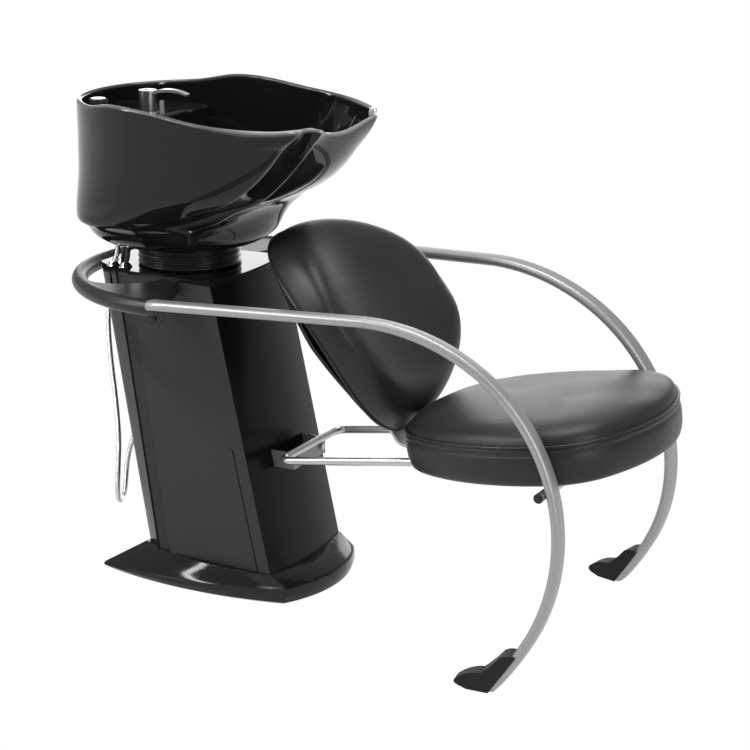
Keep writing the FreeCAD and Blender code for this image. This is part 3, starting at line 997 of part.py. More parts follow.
def make_hose_fittings():
    names = ("shower_ferrule", "hot_ferrule", "cold_ferrule")
    top = COLUMN_TOP + CAP_T
    for name, (x, y) in zip(names, CAP_HOLES):
        ferrule = rod(FERRULE_R, vec(x, y, COLUMN_TOP - FERRULE_UNDER), vec(x, y, top))
        bell = Part.makeCone(FERRULE_BELL_R, FERRULE_R, FERRULE_H, vec(x, y, top))
        ferrule = ferrule.fuse(bell).removeSplitter()
        save(name, ferrule.cut(rod(HOSE_R, vec(x, y, top - CUT), vec(x, y, top + CUT))))
    for name, y, z in (("hose_outlet_high", OUTLET_HIGH_Y, OUTLET_HIGH_Z),
                       ("hose_outlet_low", OUTLET_LOW_Y, OUTLET_LOW_Z)):
        skin = OUTLET_SKIN
        flange = outlet_rod(HOSE_R + skin * 2, y, z, 0, OUTLET_OUT).cut(column_solid(SKIRT_H, COLUMN_TOP, 0))
        grommet = outlet_rod(HOSE_R + skin, y, z, skin * 3, OUTLET_OUT).fuse(flange)
        save(name, grommet.removeSplitter().cut(outlet_rod(HOSE_R, y, z, CUT, CUT)))


def route_hose(points):
    # straight runs joined by arcs that touch both runs
    edges, radii = [], []
    here = points[0]
    for a, b, c in zip(points, points[1:], points[2:]):
        back, out = a - b, c - b
        turn = math.pi - back.getAngle(out)
        r = HOSE_TIGHT_SHARE * min(back.Length, out.Length) / math.tan(turn / 2)
        trim = r * math.tan(turn / 2)
        p, q = b + back.normalize() * trim, b + out.normalize() * trim
        bisector = (back.normalize() + out.normalize()).normalize()
        centre = b + bisector * (r / math.cos(turn / 2))
        middle = centre - bisector * r
        edges += [line(here, p), arc(p, middle, q)]
        radii.append(r)
        here = q
    edges.append(line(here, points[-1]))
    return Part.Wire(edges), radii


def hose(name, points, r):
    path, radii = route_hose(points)
    way = (points[1] - points[0]).normalize()
    ring = Part.Wire([Part.Circle(points[0], way, r).toShape()])
    solid = path.makePipeShell([ring], True, False)
    save(name, solid)
    low = min(p.z for p in points)
    print("    %s length %.0f least radius %.0f lowest point %.0f" % (
        name, path.Length, min(radii) if radii else 0, low))


def make_hoses():
    names = ("shower_hose_upper", "supply_hose_hot", "supply_hose_cold")
    for name, (x, y), (bx, by) in zip(names, CAP_HOLES, BOWL_HOLES):
        low, top = COLUMN_TOP - FERRULE_UNDER, GLAND_LOW_Z
        third = (top - low) / 3
        points = [vec(x, y, low), vec(x, y, low + third),
                  vec(bx, by, top - third), vec(bx, by, top)]
        hose(name, points, HOSE_R - SLIP)
    way = vec(-1, 0, -1).normalize()
    start = vec(column_rear_x(OUTLET_HIGH_Z), OUTLET_HIGH_Y, OUTLET_HIGH_Z) + way * OUTLET_OUT
    end = vec(column_rear_x(OUTLET_LOW_Z), OUTLET_LOW_Y, OUTLET_LOW_Z) + way * OUTLET_OUT
    route = [start, start + way * LOOP_LEAVE] + [vec(*p) for p in LOOP_ROUTE] + [end + way * LOOP_LEAVE, end]
    hose("shower_hose_loop", route, HOSE_R)
    top = vec(DRAIN_X, 0, TAIL_LOW_Z)
    low = vec(DRAIN_X, 0, WASTE_TOP_Z)
    rise = (top - low) / 4
    hose("waste_hose", [low, low + rise, low + rise * 2 + vec(WASTE_BEND, 0, 0), top - rise, top], TAIL_R)


os.makedirs("parts", exist_ok=True)
make_pedestal()
make_skirt()
make_post()
make_pipes()
tube_bar = side_tube(0)
save_pair("side_tube", side_tube(TUBE_WALL))
make_shoes(tube_bar)
make_yoke(tube_bar)
u_bar, u_z = u_tube(U_TUBE_R, 0)
save("u_tube", u_tube(U_TUBE_R, U_TUBE_WALL)[0])
make_u_channel(u_z, u_bar)
make_seat([u_tube(U_TUBE_R + SLIP, 0)[0], make_seat_bar(tube_bar)])
make_backrest()
make_bowl(make_glands())
make_drain()
make_tilt()
make_sleeve()
make_tap()
make_spray()
make_hose_fittings()
make_hoses()
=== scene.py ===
"""Salon backwash unit: a tilting black basin on a pedestal, with a round seat and
backrest hung between two bent metal side tubes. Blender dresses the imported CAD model."""
import math

import bmesh
import bpy
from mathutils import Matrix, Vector, noise


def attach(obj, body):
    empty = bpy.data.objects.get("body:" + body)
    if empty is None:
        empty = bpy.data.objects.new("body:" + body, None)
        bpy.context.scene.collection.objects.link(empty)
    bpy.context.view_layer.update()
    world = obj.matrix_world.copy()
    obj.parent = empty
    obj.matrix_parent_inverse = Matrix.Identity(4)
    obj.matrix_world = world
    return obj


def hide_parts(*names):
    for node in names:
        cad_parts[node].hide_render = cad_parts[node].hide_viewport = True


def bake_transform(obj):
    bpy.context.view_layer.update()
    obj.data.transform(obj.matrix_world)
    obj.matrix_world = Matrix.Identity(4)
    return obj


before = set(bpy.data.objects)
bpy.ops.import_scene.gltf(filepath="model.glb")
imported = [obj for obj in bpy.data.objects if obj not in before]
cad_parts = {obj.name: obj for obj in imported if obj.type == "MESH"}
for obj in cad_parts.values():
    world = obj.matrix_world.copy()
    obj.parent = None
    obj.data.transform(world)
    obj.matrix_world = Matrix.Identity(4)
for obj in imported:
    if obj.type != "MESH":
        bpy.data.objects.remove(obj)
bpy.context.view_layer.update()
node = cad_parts

# Studio.
# White floor that fills the whole view, soft panels above and beside, and the
# camera at the photograph's angle, long lens, a little above the basin's rim.
CAMERA_AZ, CAMERA_EL = math.radians(28.0), math.radians(16.09)
CAMERA_DISTANCE = 4.306
FOCAL_SHARE = 2204.9 / 750  # focal length over the picture's width
LOOK_AT = Vector((0.422, 0.0, 0.4583))
camera_data = bpy.data.cameras.new("camera")
camera_data.lens = camera_data.sensor_width * FOCAL_SHARE
camera_data.clip_end = 60.0
camera = bpy.data.objects.new("camera", camera_data)
back = Vector((math.sin(CAMERA_AZ) * math.cos(CAMERA_EL),
               -math.cos(CAMERA_AZ) * math.cos(CAMERA_EL),
               math.sin(CAMERA_EL)))
camera.location = LOOK_AT + back * CAMERA_DISTANCE
camera.rotation_euler = back.to_track_quat("Z", "Y").to_euler()
bpy.context.scene.collection.objects.link(camera)
bpy.context.scene.camera = camera
bpy.context.scene.view_settings.view_transform = "Standard"

FLOOR_HALF, FLOOR_CORNERS = 40.0, ((-1, -1), (1, -1), (1, 1), (-1, 1))
floor_mesh = bpy.data.meshes.new("studio_floor")
floor_points = [(x * FLOOR_HALF, y * FLOOR_HALF, 0) for x, y in FLOOR_CORNERS]
floor_mesh.from_pydata(floor_points, [], [(0, 1, 2, 3)])
floor = bpy.data.objects.new("studio_floor", floor_mesh)
bpy.context.scene.collection.objects.link(floor)


def feed(tree, socket, term):
    """Gives a node's socket a number or colour, or another node's output."""
    if isinstance(term, bpy.types.NodeSocket):
        tree.links.new(term, socket)
    else:
        socket.default_value = term


def maths(tree, operation, *terms):
    """Output of a Math node on numbers or other nodes' outputs."""
    joint = tree.nodes.new("ShaderNodeMath")
    joint.operation = operation
    for socket, term in zip(joint.inputs, terms):
        feed(tree, socket, term)
    return joint.outputs["Value"]


paper = bpy.data.materials.new("white_paper")
paper.use_nodes = True
tree = paper.node_tree
shader = tree.nodes["Principled BSDF"]
shader.inputs["Roughness"].default_value = 0.9
shader.inputs["Specular IOR Level"].default_value = 0.1
shader.inputs["Base Color"].default_value = (0.93, 0.93, 0.93, 1)
ray = tree.nodes.new("ShaderNodeLightPath")
seen = maths(tree, "MAXIMUM", ray.outputs["Is Camera Ray"], ray.outputs["Is Glossy Ray"])
seen = maths(tree, "MAXIMUM", seen, ray.outputs["Is Transmission Ray"])
lit = tree.nodes.new("ShaderNodeEmission")
lit.inputs["Color"].default_value = (1, 1, 1, 1)
either = tree.nodes.new("ShaderNodeMixShader")
tree.links.new(seen, either.inputs["Fac"])
tree.links.new(shader.outputs["BSDF"], either.inputs[1])
tree.links.new(lit.outputs["Emission"], either.inputs[2])
tree.links.new(either.outputs["Shader"], tree.nodes["Material Output"].inputs["Surface"])
floor_mesh.materials.append(paper)

world = bpy.data.worlds.new("studio")
world.use_nodes = True
sky = world.node_tree.nodes["Background"]
sky.inputs["Color"].default_value = (1, 1, 1, 1)
sky.inputs["Strength"].default_value = 0.42
bpy.context.scene.world = world

PANELS = (  # name, place, size across and up, watts
    ("strip_left", (-2.4, -2.4, 2.3), (0.35, 2.4), 60.0),
    ("strip_right", (3.4, -1.4, 2.0), (0.3, 2.4), 45.0),
    ("panel_top", (0.5, 0.5, 3.2), (2.0, 1.4), 60.0),
    ("strip_back", (-0.9, 2.8, 1.0), (3.0, 1.0), 26.0),
    ("strip_rim", (-1.25, -1.55, 2.9), (1.8, 0.14), 55.0),
)
LAMPS_FACE = Vector((0.3, 0.0, 0.55))
for name, place, (wide, tall), watts in PANELS:
    lamp = bpy.data.lights.new(name, "AREA")
    lamp.shape = "RECTANGLE"
    lamp.size, lamp.size_y, lamp.energy = wide, tall, watts
    holder = bpy.data.objects.new(name, lamp)
    holder.location = place
    holder.rotation_euler = (Vector(place) - LAMPS_FACE).to_track_quat("Z", "Y").to_euler()
    holder.visible_camera = False
    bpy.context.scene.collection.objects.link(holder)


# Hoses.
# A wound steel shower hose hangs in a loop from two rubber outlets behind the column. Short
# hoses with crimped ferrules rise to the basin, and a corrugated one carries the waste.
def ramp(tree, value, start=0.0, end=1.0, low=0.0, high=1.0):
    """Output that runs from low to high while the value runs from start to end."""
    step = tree.nodes.new("ShaderNodeMapRange")
    terms = {"Value": value, "From Min": start, "From Max": end, "To Min": low, "To Max": high}
    for socket, term in terms.items():
        feed(tree, step.inputs[socket], term)
    return step.outputs["Result"]


def mixed(tree, share, first, second):
    """Colour that runs from the first to the second with the share."""
    blend = tree.nodes.new("ShaderNodeMix")
    blend.data_type = "RGBA"
    for socket, term in (("A", first), ("B", second), ("Factor", share)):
        feed(tree, blend.inputs[socket], term)
    return blend.outputs["Result"]


def cloudy(tree, place, scale, detail=2.0):
    """Noise that is fixed to the piece."""
    cloud = tree.nodes.new("ShaderNodeTexNoise")
    cloud.inputs["Scale"].default_value = scale
    cloud.inputs["Detail"].default_value = detail
    tree.links.new(place.outputs["Object"], cloud.inputs["Vector"])
    return cloud.outputs["Fac"]


def emboss(tree, height, strength, depth):
    """Bumps the surface by a height between 0 and 1."""
    bump = tree.nodes.new("ShaderNodeBump")
    bump.inputs["Strength"].default_value = strength
    bump.inputs["Distance"].default_value = depth
    tree.links.new(height, bump.inputs["Height"])
    tree.links.new(bump.outputs["Normal"], tree.nodes["Principled BSDF"].inputs["Normal"])


SMOOTHEST, GRAIN_DEPTH = 0.02, 0.0004


def finish(name, colour, rough, metallic=0.0, specular=0.5, tint=0.06, spread=0.05, speck=60.0,
           grain=0.0, grain_scale=900.0):
    """Shader whose colour, roughness and fine bump wander with noise."""
    mat = bpy.data.materials.new(name)
    mat.use_nodes = True
    tree = mat.node_tree
    shader = tree.nodes["Principled BSDF"]
    shader.inputs["Metallic"].default_value = metallic
    shader.inputs["Specular IOR Level"].default_value = specular
    place = tree.nodes.new("ShaderNodeTexCoord")
    cloud = cloudy(tree, place, speck, 5.0)
    darker = tuple(c * (1 - tint) for c in colour) + (1,)
    lighter = tuple(min(1, c * (1 + tint)) for c in colour) + (1,)
    tree.links.new(mixed(tree, cloud, darker, lighter), shader.inputs["Base Color"])
    gloss = ramp(tree, cloud, low=max(SMOOTHEST, rough - spread), high=rough + spread)
    tree.links.new(gloss, shader.inputs["Roughness"])
    if grain:
        emboss(tree, cloudy(tree, place, grain_scale, 3.0), grain, GRAIN_DEPTH)
    return mat


WAVE_REPEAT = 0.31416  # metres between two bands of the wave texture at scale 1


def rings_along(mat, pitch, depth):
    """Adds the turned or wound ribs of a flexible hose to a finish."""
    tree = mat.node_tree
    place = tree.nodes.new("ShaderNodeTexCoord")
    wave = tree.nodes.new("ShaderNodeTexWave")
    wave.bands_direction = "Z"
    wave.inputs["Scale"].default_value = WAVE_REPEAT / pitch
    tree.links.new(place.outputs["Object"], wave.inputs["Vector"])
    emboss(tree, wave.outputs["Fac"], 1.0, depth)
    return mat


wound_steel = finish("wound_steel_hose", (0.72, 0.72, 0.73), 0.2, metallic=1.0)
rings_along(wound_steel, pitch=0.0032, depth=0.0007)
black_hose = finish("black_rubber_hose", (0.02, 0.02, 0.021), 0.35, specular=0.4, grain=0.3)
waste_rubber = finish("corrugated_waste_hose", (0.035, 0.035, 0.036), 0.45)
rings_along(waste_rubber, pitch=0.006, depth=0.0015)

HOSE_R, SHORT_HOSE_R, WASTE_R = 0.0055, 0.0051, 0.018
FROM_Z, TO_Z = 0.626, 0.684
SHORT_HOSES = {  # foot on the column's cap, top at the basin, finish, slot
    "shower_hose_upper": ((-0.118, -0.099), (-0.110, -0.094), wound_steel, "chrome"),
    "supply_hose_hot": ((-0.088, -0.100), (-0.084, -0.096), black_hose, "black_hose"),
    "supply_hose_cold": ((-0.118, -0.068), (-0.112, -0.066), black_hose, "black_hose"),
}
third = (TO_Z - FROM_Z) / 3
routes = {}
for name, ((x, y), (bx, by), mat, slot) in SHORT_HOSES.items():
    rising = [(x, y, FROM_Z), (x, y, FROM_Z + third), (bx, by, TO_Z - third), (bx, by, TO_Z)]
    routes[name] = (rising, SHORT_HOSE_R, mat, slot)
LOOP_ROUTE = [
    (-0.1574, -0.0220, 0.5783), (-0.1815, -0.0220, 0.5543), (-0.1880, -0.0260, 0.5060),
    (-0.1810, -0.0300, 0.4200), (-0.1680, -0.0340, 0.3300), (-0.1610, -0.0380, 0.2500),
    (-0.1630, -0.0430, 0.1860), (-0.1680, -0.0410, 0.1400), (-0.1800, -0.0200, 0.1020),
    (-0.1940, 0.0220, 0.1020), (-0.2030, 0.0430, 0.1400), (-0.1980, 0.0450, 0.1860),
    (-0.1760, 0.0410, 0.2400), (-0.1366, 0.0380, 0.2923), (-0.1125, 0.0380, 0.3163)]
routes["shower_hose_loop"] = (LOOP_ROUTE, HOSE_R, wound_steel, "chrome")
DRAIN_X, WASTE_LOW, WASTE_TOP, WASTE_BEND = -0.004, 0.590, 0.735, 0.004
rise = (WASTE_TOP - WASTE_LOW) / 4
WASTE_ROUTE = [
    (DRAIN_X, 0, WASTE_LOW), (DRAIN_X, 0, WASTE_LOW + rise),
    (DRAIN_X + WASTE_BEND, 0, WASTE_LOW + rise * 2),
    (DRAIN_X, 0, WASTE_TOP - rise), (DRAIN_X, 0, WASTE_TOP)]
routes["waste_hose"] = (WASTE_ROUTE, WASTE_R, waste_rubber, "black_hose")
for name, (points, radius, mat, slot) in routes.items():
    curve = bpy.data.curves.new(name + "_line", "CURVE")
    curve.dimensions = "3D"
    curve.bevel_depth, curve.bevel_resolution, curve.resolution_u = radius, 6, 12
    curve.use_fill_caps = True
    spline = curve.splines.new("NURBS")
    spline.points.add(len(points) - 1)
    for point, where in zip(spline.points, points):
        point.co = (*where, 1)
    spline.order_u, spline.use_endpoint_u = 3, True
    curve.materials.append(mat)
    hose = bpy.data.objects.new(name + "_dressed", curve)
    bpy.context.scene.collection.objects.link(hose)
    if name == "shower_hose_loop":
        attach(hose, "frame")
    else:
        bpy.context.view_layer.update()
        solved = hose.evaluated_get(bpy.context.evaluated_depsgraph_get())
        skin = bpy.data.meshes.new_from_object(solved)
        bpy.data.objects.remove(hose)
        hose = bpy.data.objects.new(name + "_dressed", skin)
        bpy.context.scene.collection.objects.link(hose)
        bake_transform(hose)
    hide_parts(name)

# Pedestal.
# Moulded column: satin grained side panels, glossy front and rear, a cap under the
# basin, and a moulded skirt on the floor. A plated steel post and pipes stand inside.
WELD, FLAT_WITHIN, SHARP_FROM = 1e-5, math.radians(0.6), math.radians(28)
BEVEL_STEPS = 3


def rounded_copy(source, width, mat):
    """The CAD piece again, with its sharp edges rounded as a moulding or casting has them."""
    mesh = node[source].data.copy()
    piece = bpy.data.objects.new(source + "_dressed", mesh)
    bpy.context.scene.collection.objects.link(piece)
    mesh.materials.clear()
    mesh.materials.append(mat)
    work = bmesh.new()
    work.from_mesh(mesh)
    bmesh.ops.remove_doubles(work, verts=work.verts, dist=WELD)
    bmesh.ops.dissolve_limit(work, angle_limit=FLAT_WITHIN, verts=work.verts, edges=work.edges)
    work.to_mesh(mesh)
    work.free()
    if mesh.has_custom_normals:
        mesh.attributes.remove(mesh.attributes["custom_normal"])
    mesh.polygons.foreach_set("use_smooth", [True] * len(mesh.polygons))
    round_off = piece.modifiers.new("round_off", "BEVEL")
    round_off.width, round_off.segments = width, BEVEL_STEPS
    round_off.limit_method, round_off.angle_limit = "ANGLE", SHARP_FROM
    round_off.use_clamp_overlap, round_off.harden_normals = True, True
    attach(piece, "frame")
    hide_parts(source)


def along(tree, place, direction):
    """Each point's distance along a direction."""
    dot = tree.nodes.new("ShaderNodeVectorMath")
    dot.operation = "DOT_PRODUCT"
    dot.inputs[1].default_value = direction
    tree.links.new(place.outputs["Object"], dot.inputs[0])
    return dot.outputs["Value"]


# the grain lies on faces that look sideways, in front of the rear strip
FACES_SIDE_FROM, FACES_SIDE_FULL = 0.93, 0.985
COLUMN_LEAN, STRIP_EDGE = (1.0, 0.0, 0.155), -0.0265
PANEL_GRAIN = 500.0
column_skin = bpy.data.materials.new("column_skin")
column_skin.use_nodes = True
tree = column_skin.node_tree
shader = tree.nodes["Principled BSDF"]
shader.inputs["Specular IOR Level"].default_value = 0.1
place = tree.nodes.new("ShaderNodeTexCoord")
facing = tree.nodes.new("ShaderNodeSeparateXYZ")
tree.links.new(place.outputs["Normal"], facing.inputs["Vector"])
sideways = maths(tree, "ABSOLUTE", facing.outputs["Y"])
sideways = ramp(tree, sideways, FACES_SIDE_FROM, FACES_SIDE_FULL)
past_strip = maths(tree, "GREATER_THAN", along(tree, place, COLUMN_LEAN), STRIP_EDGE)
textured = maths(tree, "MULTIPLY", sideways, past_strip)
emboss(tree, maths(tree, "MULTIPLY", textured, cloudy(tree, place, PANEL_GRAIN)), 0.6, 0.0008)
tree.links.new(ramp(tree, textured, low=0.22, high=0.5), shader.inputs["Roughness"])
skin_colour = mixed(tree, textured, (0.004, 0.004, 0.0045, 1), (0.031, 0.031, 0.032, 1))
tree.links.new(skin_colour, shader.inputs["Base Color"])
black_gloss = finish("black_gloss_shell", (0.008, 0.008, 0.009), 0.1, specular=0.28, grain=0.05,
                     grain_scale=300.0)

rounded_copy("pedestal_shell", 0.0025, column_skin)
rounded_copy("pedestal_cap", 0.002, black_gloss)
rounded_copy("base_skirt", 0.003, black_gloss)


def dress(names, mat):
    """Gives CAD pieces that stay as they are a finish."""
    for name in names:
        piece = node[name]
        piece.data.materials.clear()
        piece.data.materials.append(mat)


dull_steel = finish("zinc_plated_steel", (0.5, 0.5, 0.5), 0.38, metallic=0.9, tint=0.12, grain=0.1)
grey_pipe = finish("grey_waste_pipe", (0.4, 0.4, 0.4), 0.5, grain=0.1)
chrome = finish("polished_chrome", (0.8, 0.8, 0.81), 0.06, metallic=1.0, tint=0.02, spread=0.02)
dark_rubber = finish("moulded_rubber", (0.014, 0.014, 0.014), 0.55, specular=0.14, grain=0.03,
                     grain_scale=300.0)
dress(["floor_plate", "pedestal_post", "supply_pipe_hot", "supply_pipe_cold"], dull_steel)
dress(["tilt_base", "tilt_head", "tilt_pin_left", "tilt_pin_right", "mixer_nut"], dull_steel)
dress(["waste_pipe"], grey_pipe)
dress(["shower_ferrule", "hot_ferrule", "cold_ferrule"], chrome)
dress(["hose_outlet_high", "hose_outlet_low"], dark_rubber)


# Side tubes.
# Two flat-oval steel tubes, silver painted, each bent in one plane: a nearly level
# arm, a wide front bend, and a foot that curves back under it.
def link(name, verts, faces, mat):
    """New smooth object from a list of points and faces."""
    mesh = bpy.data.meshes.new(name)
    mesh.from_pydata([tuple(v) for v in verts], [], faces)
    mesh.materials.append(mat)
    mesh.polygons.foreach_set("use_smooth", [True] * len(mesh.polygons))
    mesh.validate()
    obj = bpy.data.objects.new(name, mesh)
    bpy.context.scene.collection.objects.link(obj)
    return obj


def ring_quads(rings, count):
    """Faces between neighbours in a row of closed rings."""
    quads = []
    for k in range(rings - 1):
        for j in range(count):
            a, b = k * count + j, k * count + (j + 1) % count
            quads.append((a, b, b + count, a + count))
    return quads


silver = finish("silver_painted_tube", (0.32, 0.32, 0.32), 0.42, metallic=0.6, tint=0.24,
                spread=0.04, speck=420.0, grain=0.02, grain_scale=500.0)
TUBE_W, TUBE_T = 0.038, 0.018
TUBE_REAR, TUBE_FOOT_Z = Vector((0.106, 0.311, 0.632)), 0.0016
toe, splay = math.tan(math.radians(4.0)), math.tan(math.radians(4.4))
across = Vector((toe, 1, splay)).normalized()
forward = Vector((1, -toe, 0)).normalized()
upward = forward.cross(across).normalized()
ARM_RUN, ARM_RISE, ARM_STEPS, LEAST_BEND_STEPS = 0.428, math.radians(1.7), 12, 8
BENDS = ((0.415, 34.4), (0.361, 86.0), (0.620, 12.0))  # radius, degrees
course = []
heading = ARM_RISE
for k in range(ARM_STEPS + 1):
    run = ARM_RUN * k / ARM_STEPS
    course.append((run * math.cos(heading), run * math.sin(heading), heading))
for radius, degrees in BENDS:
    u, v = course[-1][:2]
    turn = math.radians(degrees)
    cu, cv = u + radius * math.sin(heading), v - radius * math.cos(heading)
    steps = max(LEAST_BEND_STEPS, int(degrees))
    for k in range(1, steps + 1):
        angle = heading - turn * k / steps
        course.append((cu - radius * math.sin(angle), cv + radius * math.cos(angle), angle))
    heading -= turn
OVAL_STEPS = 10
end_turns = [math.pi * k / OVAL_STEPS for k in range(OVAL_STEPS + 1)]
flat, end_r = (TUBE_W - TUBE_T) / 2, TUBE_T / 2
oval = [(flat + end_r * math.sin(t), end_r * math.cos(t)) for t in end_turns]
oval += [(-flat - end_r * math.sin(t), -end_r * math.cos(t)) for t in end_turns]


def tube_ring(u, v, angle, size=1.0):
    """Ring of the left tube's skin, cut level where it would pass the floor."""
    up = upward * math.cos(angle) - forward * math.sin(angle)
    centre = TUBE_REAR + forward * u + upward * v
    ring = []
    for a, b in oval:
        p = centre + across * (a * size) + up * (b * size)
        ring.append((p.x, p.y, max(p.z, TUBE_FOOT_Z)))
    return ring


TUBE_END = ((0.55, 0.0), (0.85, 0.0012), (1.0, 0.0036))  # size of each end ring, distance in
tube_rings = [tube_ring(run * math.cos(ARM_RISE), run * math.sin(ARM_RISE), ARM_RISE, size)
              for size, run in TUBE_END]
tube_rings += [tube_ring(u, v, angle) for u, v, angle in course[1:]]
count = len(oval)
last_ring = (len(tube_rings) - 1) * count
for side, sign in (("left", 1), ("right", -1)):
    verts = [(x, y * sign, z) for ring in tube_rings for x, y, z in ring]
    faces = ring_quads(len(tube_rings), count)
    faces.append(tuple(range(count))[::-1])
    faces.append(tuple(range(last_ring, last_ring + count)))
    if sign < 0:
        faces = [face[::-1] for face in faces]
    tube = link("side_tube_%s_dressed" % side, verts, faces, silver)
    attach(tube, "frame")
    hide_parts("side_tube_" + side)

# Yoke, shoes, lower tube, bar.
# A cast black yoke wraps behind the column and takes the tubes' rear ends on screws;
# rubber shoes grip the feet; a bent round tube and a folded channel carry the seat.
yoke_black = finish("satin_black_casting", (0.014, 0.014, 0.015), 0.36, specular=0.3, grain=0.2,
                    grain_scale=500.0)
rounded_copy("rear_yoke", 0.003, yoke_black)
rounded_copy("foot_shoe_left", 0.0025, dark_rubber)
rounded_copy("foot_shoe_right", 0.0025, dark_rubber)
satin_tube = finish("satin_round_tube", (0.5, 0.5, 0.5), 0.34, metallic=0.95, tint=0.04,
                    speck=300.0, grain=0.1)
primed_steel = finish("primed_steel_channel", (0.2, 0.2, 0.2), 0.4, metallic=0.6, tint=0.12,
                      grain=0.15)
plywood = finish("birch_board", (0.5, 0.38, 0.24), 0.6, tint=0.2, speck=25.0, grain=0.2)
dress(["u_tube", "seat_crossbar"], satin_tube)
dress(["crossbar_bolt_left", "crossbar_bolt_right", "yoke_screw_left", "yoke_screw_right"],
      yoke_black)
dress(["u_bolt_left", "u_bolt_right", "seat_saddle_left", "seat_saddle_right",
       "backrest_bracket"], dull_steel)
dress(["u_channel"], primed_steel)
dress(["seat_board"], plywood)


# Seat.
# Upholstered pad, wider at the front: foam under black leather cloth, a piped edge
# round the crowned top, a second seam below it, and a boxed side that tucks under.
def hide_finish(name, rough):
    """Black leather cloth: pebbled grain, fine creases and a slightly worn sheen."""
    mat = finish(name, (0.015, 0.015, 0.0155), rough, specular=0.28, tint=0.12, spread=0.07,
                 speck=14.0)
    tree = mat.node_tree
    place = tree.nodes.new("ShaderNodeTexCoord")
    pebble = tree.nodes.new("ShaderNodeTexVoronoi")
    pebble.inputs["Scale"].default_value = 620.0
    tree.links.new(place.outputs["Object"], pebble.inputs["Vector"])
    crease = cloudy(tree, place, 45.0, 6.0)
    both = maths(tree, "MULTIPLY_ADD", pebble.outputs["Distance"], 0.7, crease)
    emboss(tree, both, 0.4, 0.0008)
    return mat


hide = hide_finish("black_leather_cloth", 0.4)
SEAT = Vector((0.778, 0.0, 0.433))
SEAT_TILT = math.radians(8.3)
seat_along = Vector((math.cos(SEAT_TILT), 0, math.sin(SEAT_TILT)))
seat_up = Vector((-math.sin(SEAT_TILT), 0, math.cos(SEAT_TILT)))
SEAT_HALF_L, SEAT_HALF_W, SEAT_WIDE_AT = 0.249, 0.250, 0.056
SEAT_SIDE_R, SEAT_FRONT_R, SEAT_CORNER_R = 0.420, 0.380, 0.128
SEAT_PEAK, SEAT_ARC_STEPS, CLOTH_T = 0.0382, 14, 0.002


def seat_quarter(length):
    """Quarter of the seat's outline: end arc, corner arc and side arc, each touching the next."""
    c1, c2 = (length - SEAT_FRONT_R, 0.0), (0.0, SEAT_HALF_W - SEAT_SIDE_R)
    a, b = SEAT_FRONT_R - SEAT_CORNER_R, SEAT_SIDE_R - SEAT_CORNER_R
    dx, dy = c2[0] - c1[0], c2[1] - c1[1]
    d = math.hypot(dx, dy)
    t = (a * a - b * b + d * d) / (d * 2)
    h = math.sqrt(a * a - t * t)
    cx, cy = c1[0] + (dx * t - dy * h) / d, c1[1] + (dy * t + dx * h) / d
    t1 = math.atan2(cy - c1[1], cx - c1[0])
    t2 = math.atan2(cy - c2[1], cx - c2[0])
    arcs = ((c1, SEAT_FRONT_R, 0, t1), ((cx, cy), SEAT_CORNER_R, t1, t2),
            (c2, SEAT_SIDE_R, t2, math.pi / 2))
    out = []
    for centre, r, start, end in arcs:
        for k in range(SEAT_ARC_STEPS):
            angle = start + (end - start) * k / SEAT_ARC_STEPS
            out.append((centre[0] + r * math.cos(angle), centre[1] + r * math.sin(angle)))
    return out + [(0.0, SEAT_HALF_W)]


front = seat_quarter(SEAT_HALF_L - SEAT_WIDE_AT)
rear = seat_quarter(SEAT_HALF_L + SEAT_WIDE_AT)
seat_outline = front + [(-u, w) for u, w in reversed(rear[:-1])]
seat_outline += [(-u, -w) for u, w in rear[1:-1]] + [(u, -w) for u, w in reversed(front[1:])]


def seat_point(u, w, inset, lift):
    """Place of an outline point that is moved inwards and lifted off the seat's edge plane."""
    size = 1 - inset / SEAT_HALF_W
    return SEAT + seat_along * (SEAT_WIDE_AT + u * size) + seat_up * lift + Vector((0, w * size, 0))


SEAT_PROFILE = (  # inset and height of each ring from the underside up to the crown
    (0.030, -0.0735), (0.020, -0.074), (0.0125, -0.0735), (0.0075, -0.0715), (0.0035, -0.067),
    (0.001, -0.060), (-0.0012, -0.050), (-0.0022, -0.038), (-0.0022, -0.028), (-0.0012, -0.020),
    (0.0004, -0.0158), (0.0016, -0.0142), (0.0005, -0.0126), (-0.0012, -0.0095),
    (-0.0012, -0.006), (0.0006, -0.0025), (0.0028, -0.0008), (0.0034, 0.0006), (0.0036, 0.0030),
    (0.0048, 0.0068), (0.0072, 0.0118), (0.0108, 0.0168), (0.016, 0.0212), (0.024, 0.0252),
    (0.035, 0.0288), (0.050, 0.0318), (0.070, 0.0340), (0.095, 0.0356), (0.125, 0.0367),
    (0.158, 0.0374), (0.190, 0.0378), (0.220, 0.0380), (0.240, 0.0380))
TOP_FROM, SIDE_FROM, SIDE_TO = 0.004, -0.066, -0.016
SAG, WRINKLE, SWAY = 0.0022, 0.0007, 0.0009  # how far the cloth wanders
SAG_RATE, WRINKLE_RATE, WRINKLE_REACH = 9.0, 46.0, 0.06
SWAY_ALONG, SWAY_UP = 18, 9
count = len(seat_outline)
verts = []
for inset, lift in SEAT_PROFILE:
    for u, w in seat_outline:
        p = seat_point(u, w, inset, lift)
        if lift > TOP_FROM:
            near_edge = max(0.0, 1 - inset / WRINKLE_REACH)
            p += seat_up * (noise.noise(p * SAG_RATE) * SAG
                            + noise.noise(p * WRINKLE_RATE) * WRINKLE * near_edge)
        elif SIDE_FROM < lift < SIDE_TO:
            out = Vector((u, w)).normalized()
            where = Vector((p.x * SWAY_ALONG, p.y * SWAY_ALONG, p.z * SWAY_UP))
            sway = noise.noise(where) * SWAY
            p += seat_along * out.x * sway + Vector((0, out.y * sway, 0))
        verts.append(p)
faces = ring_quads(len(SEAT_PROFILE), count)
top = len(verts)
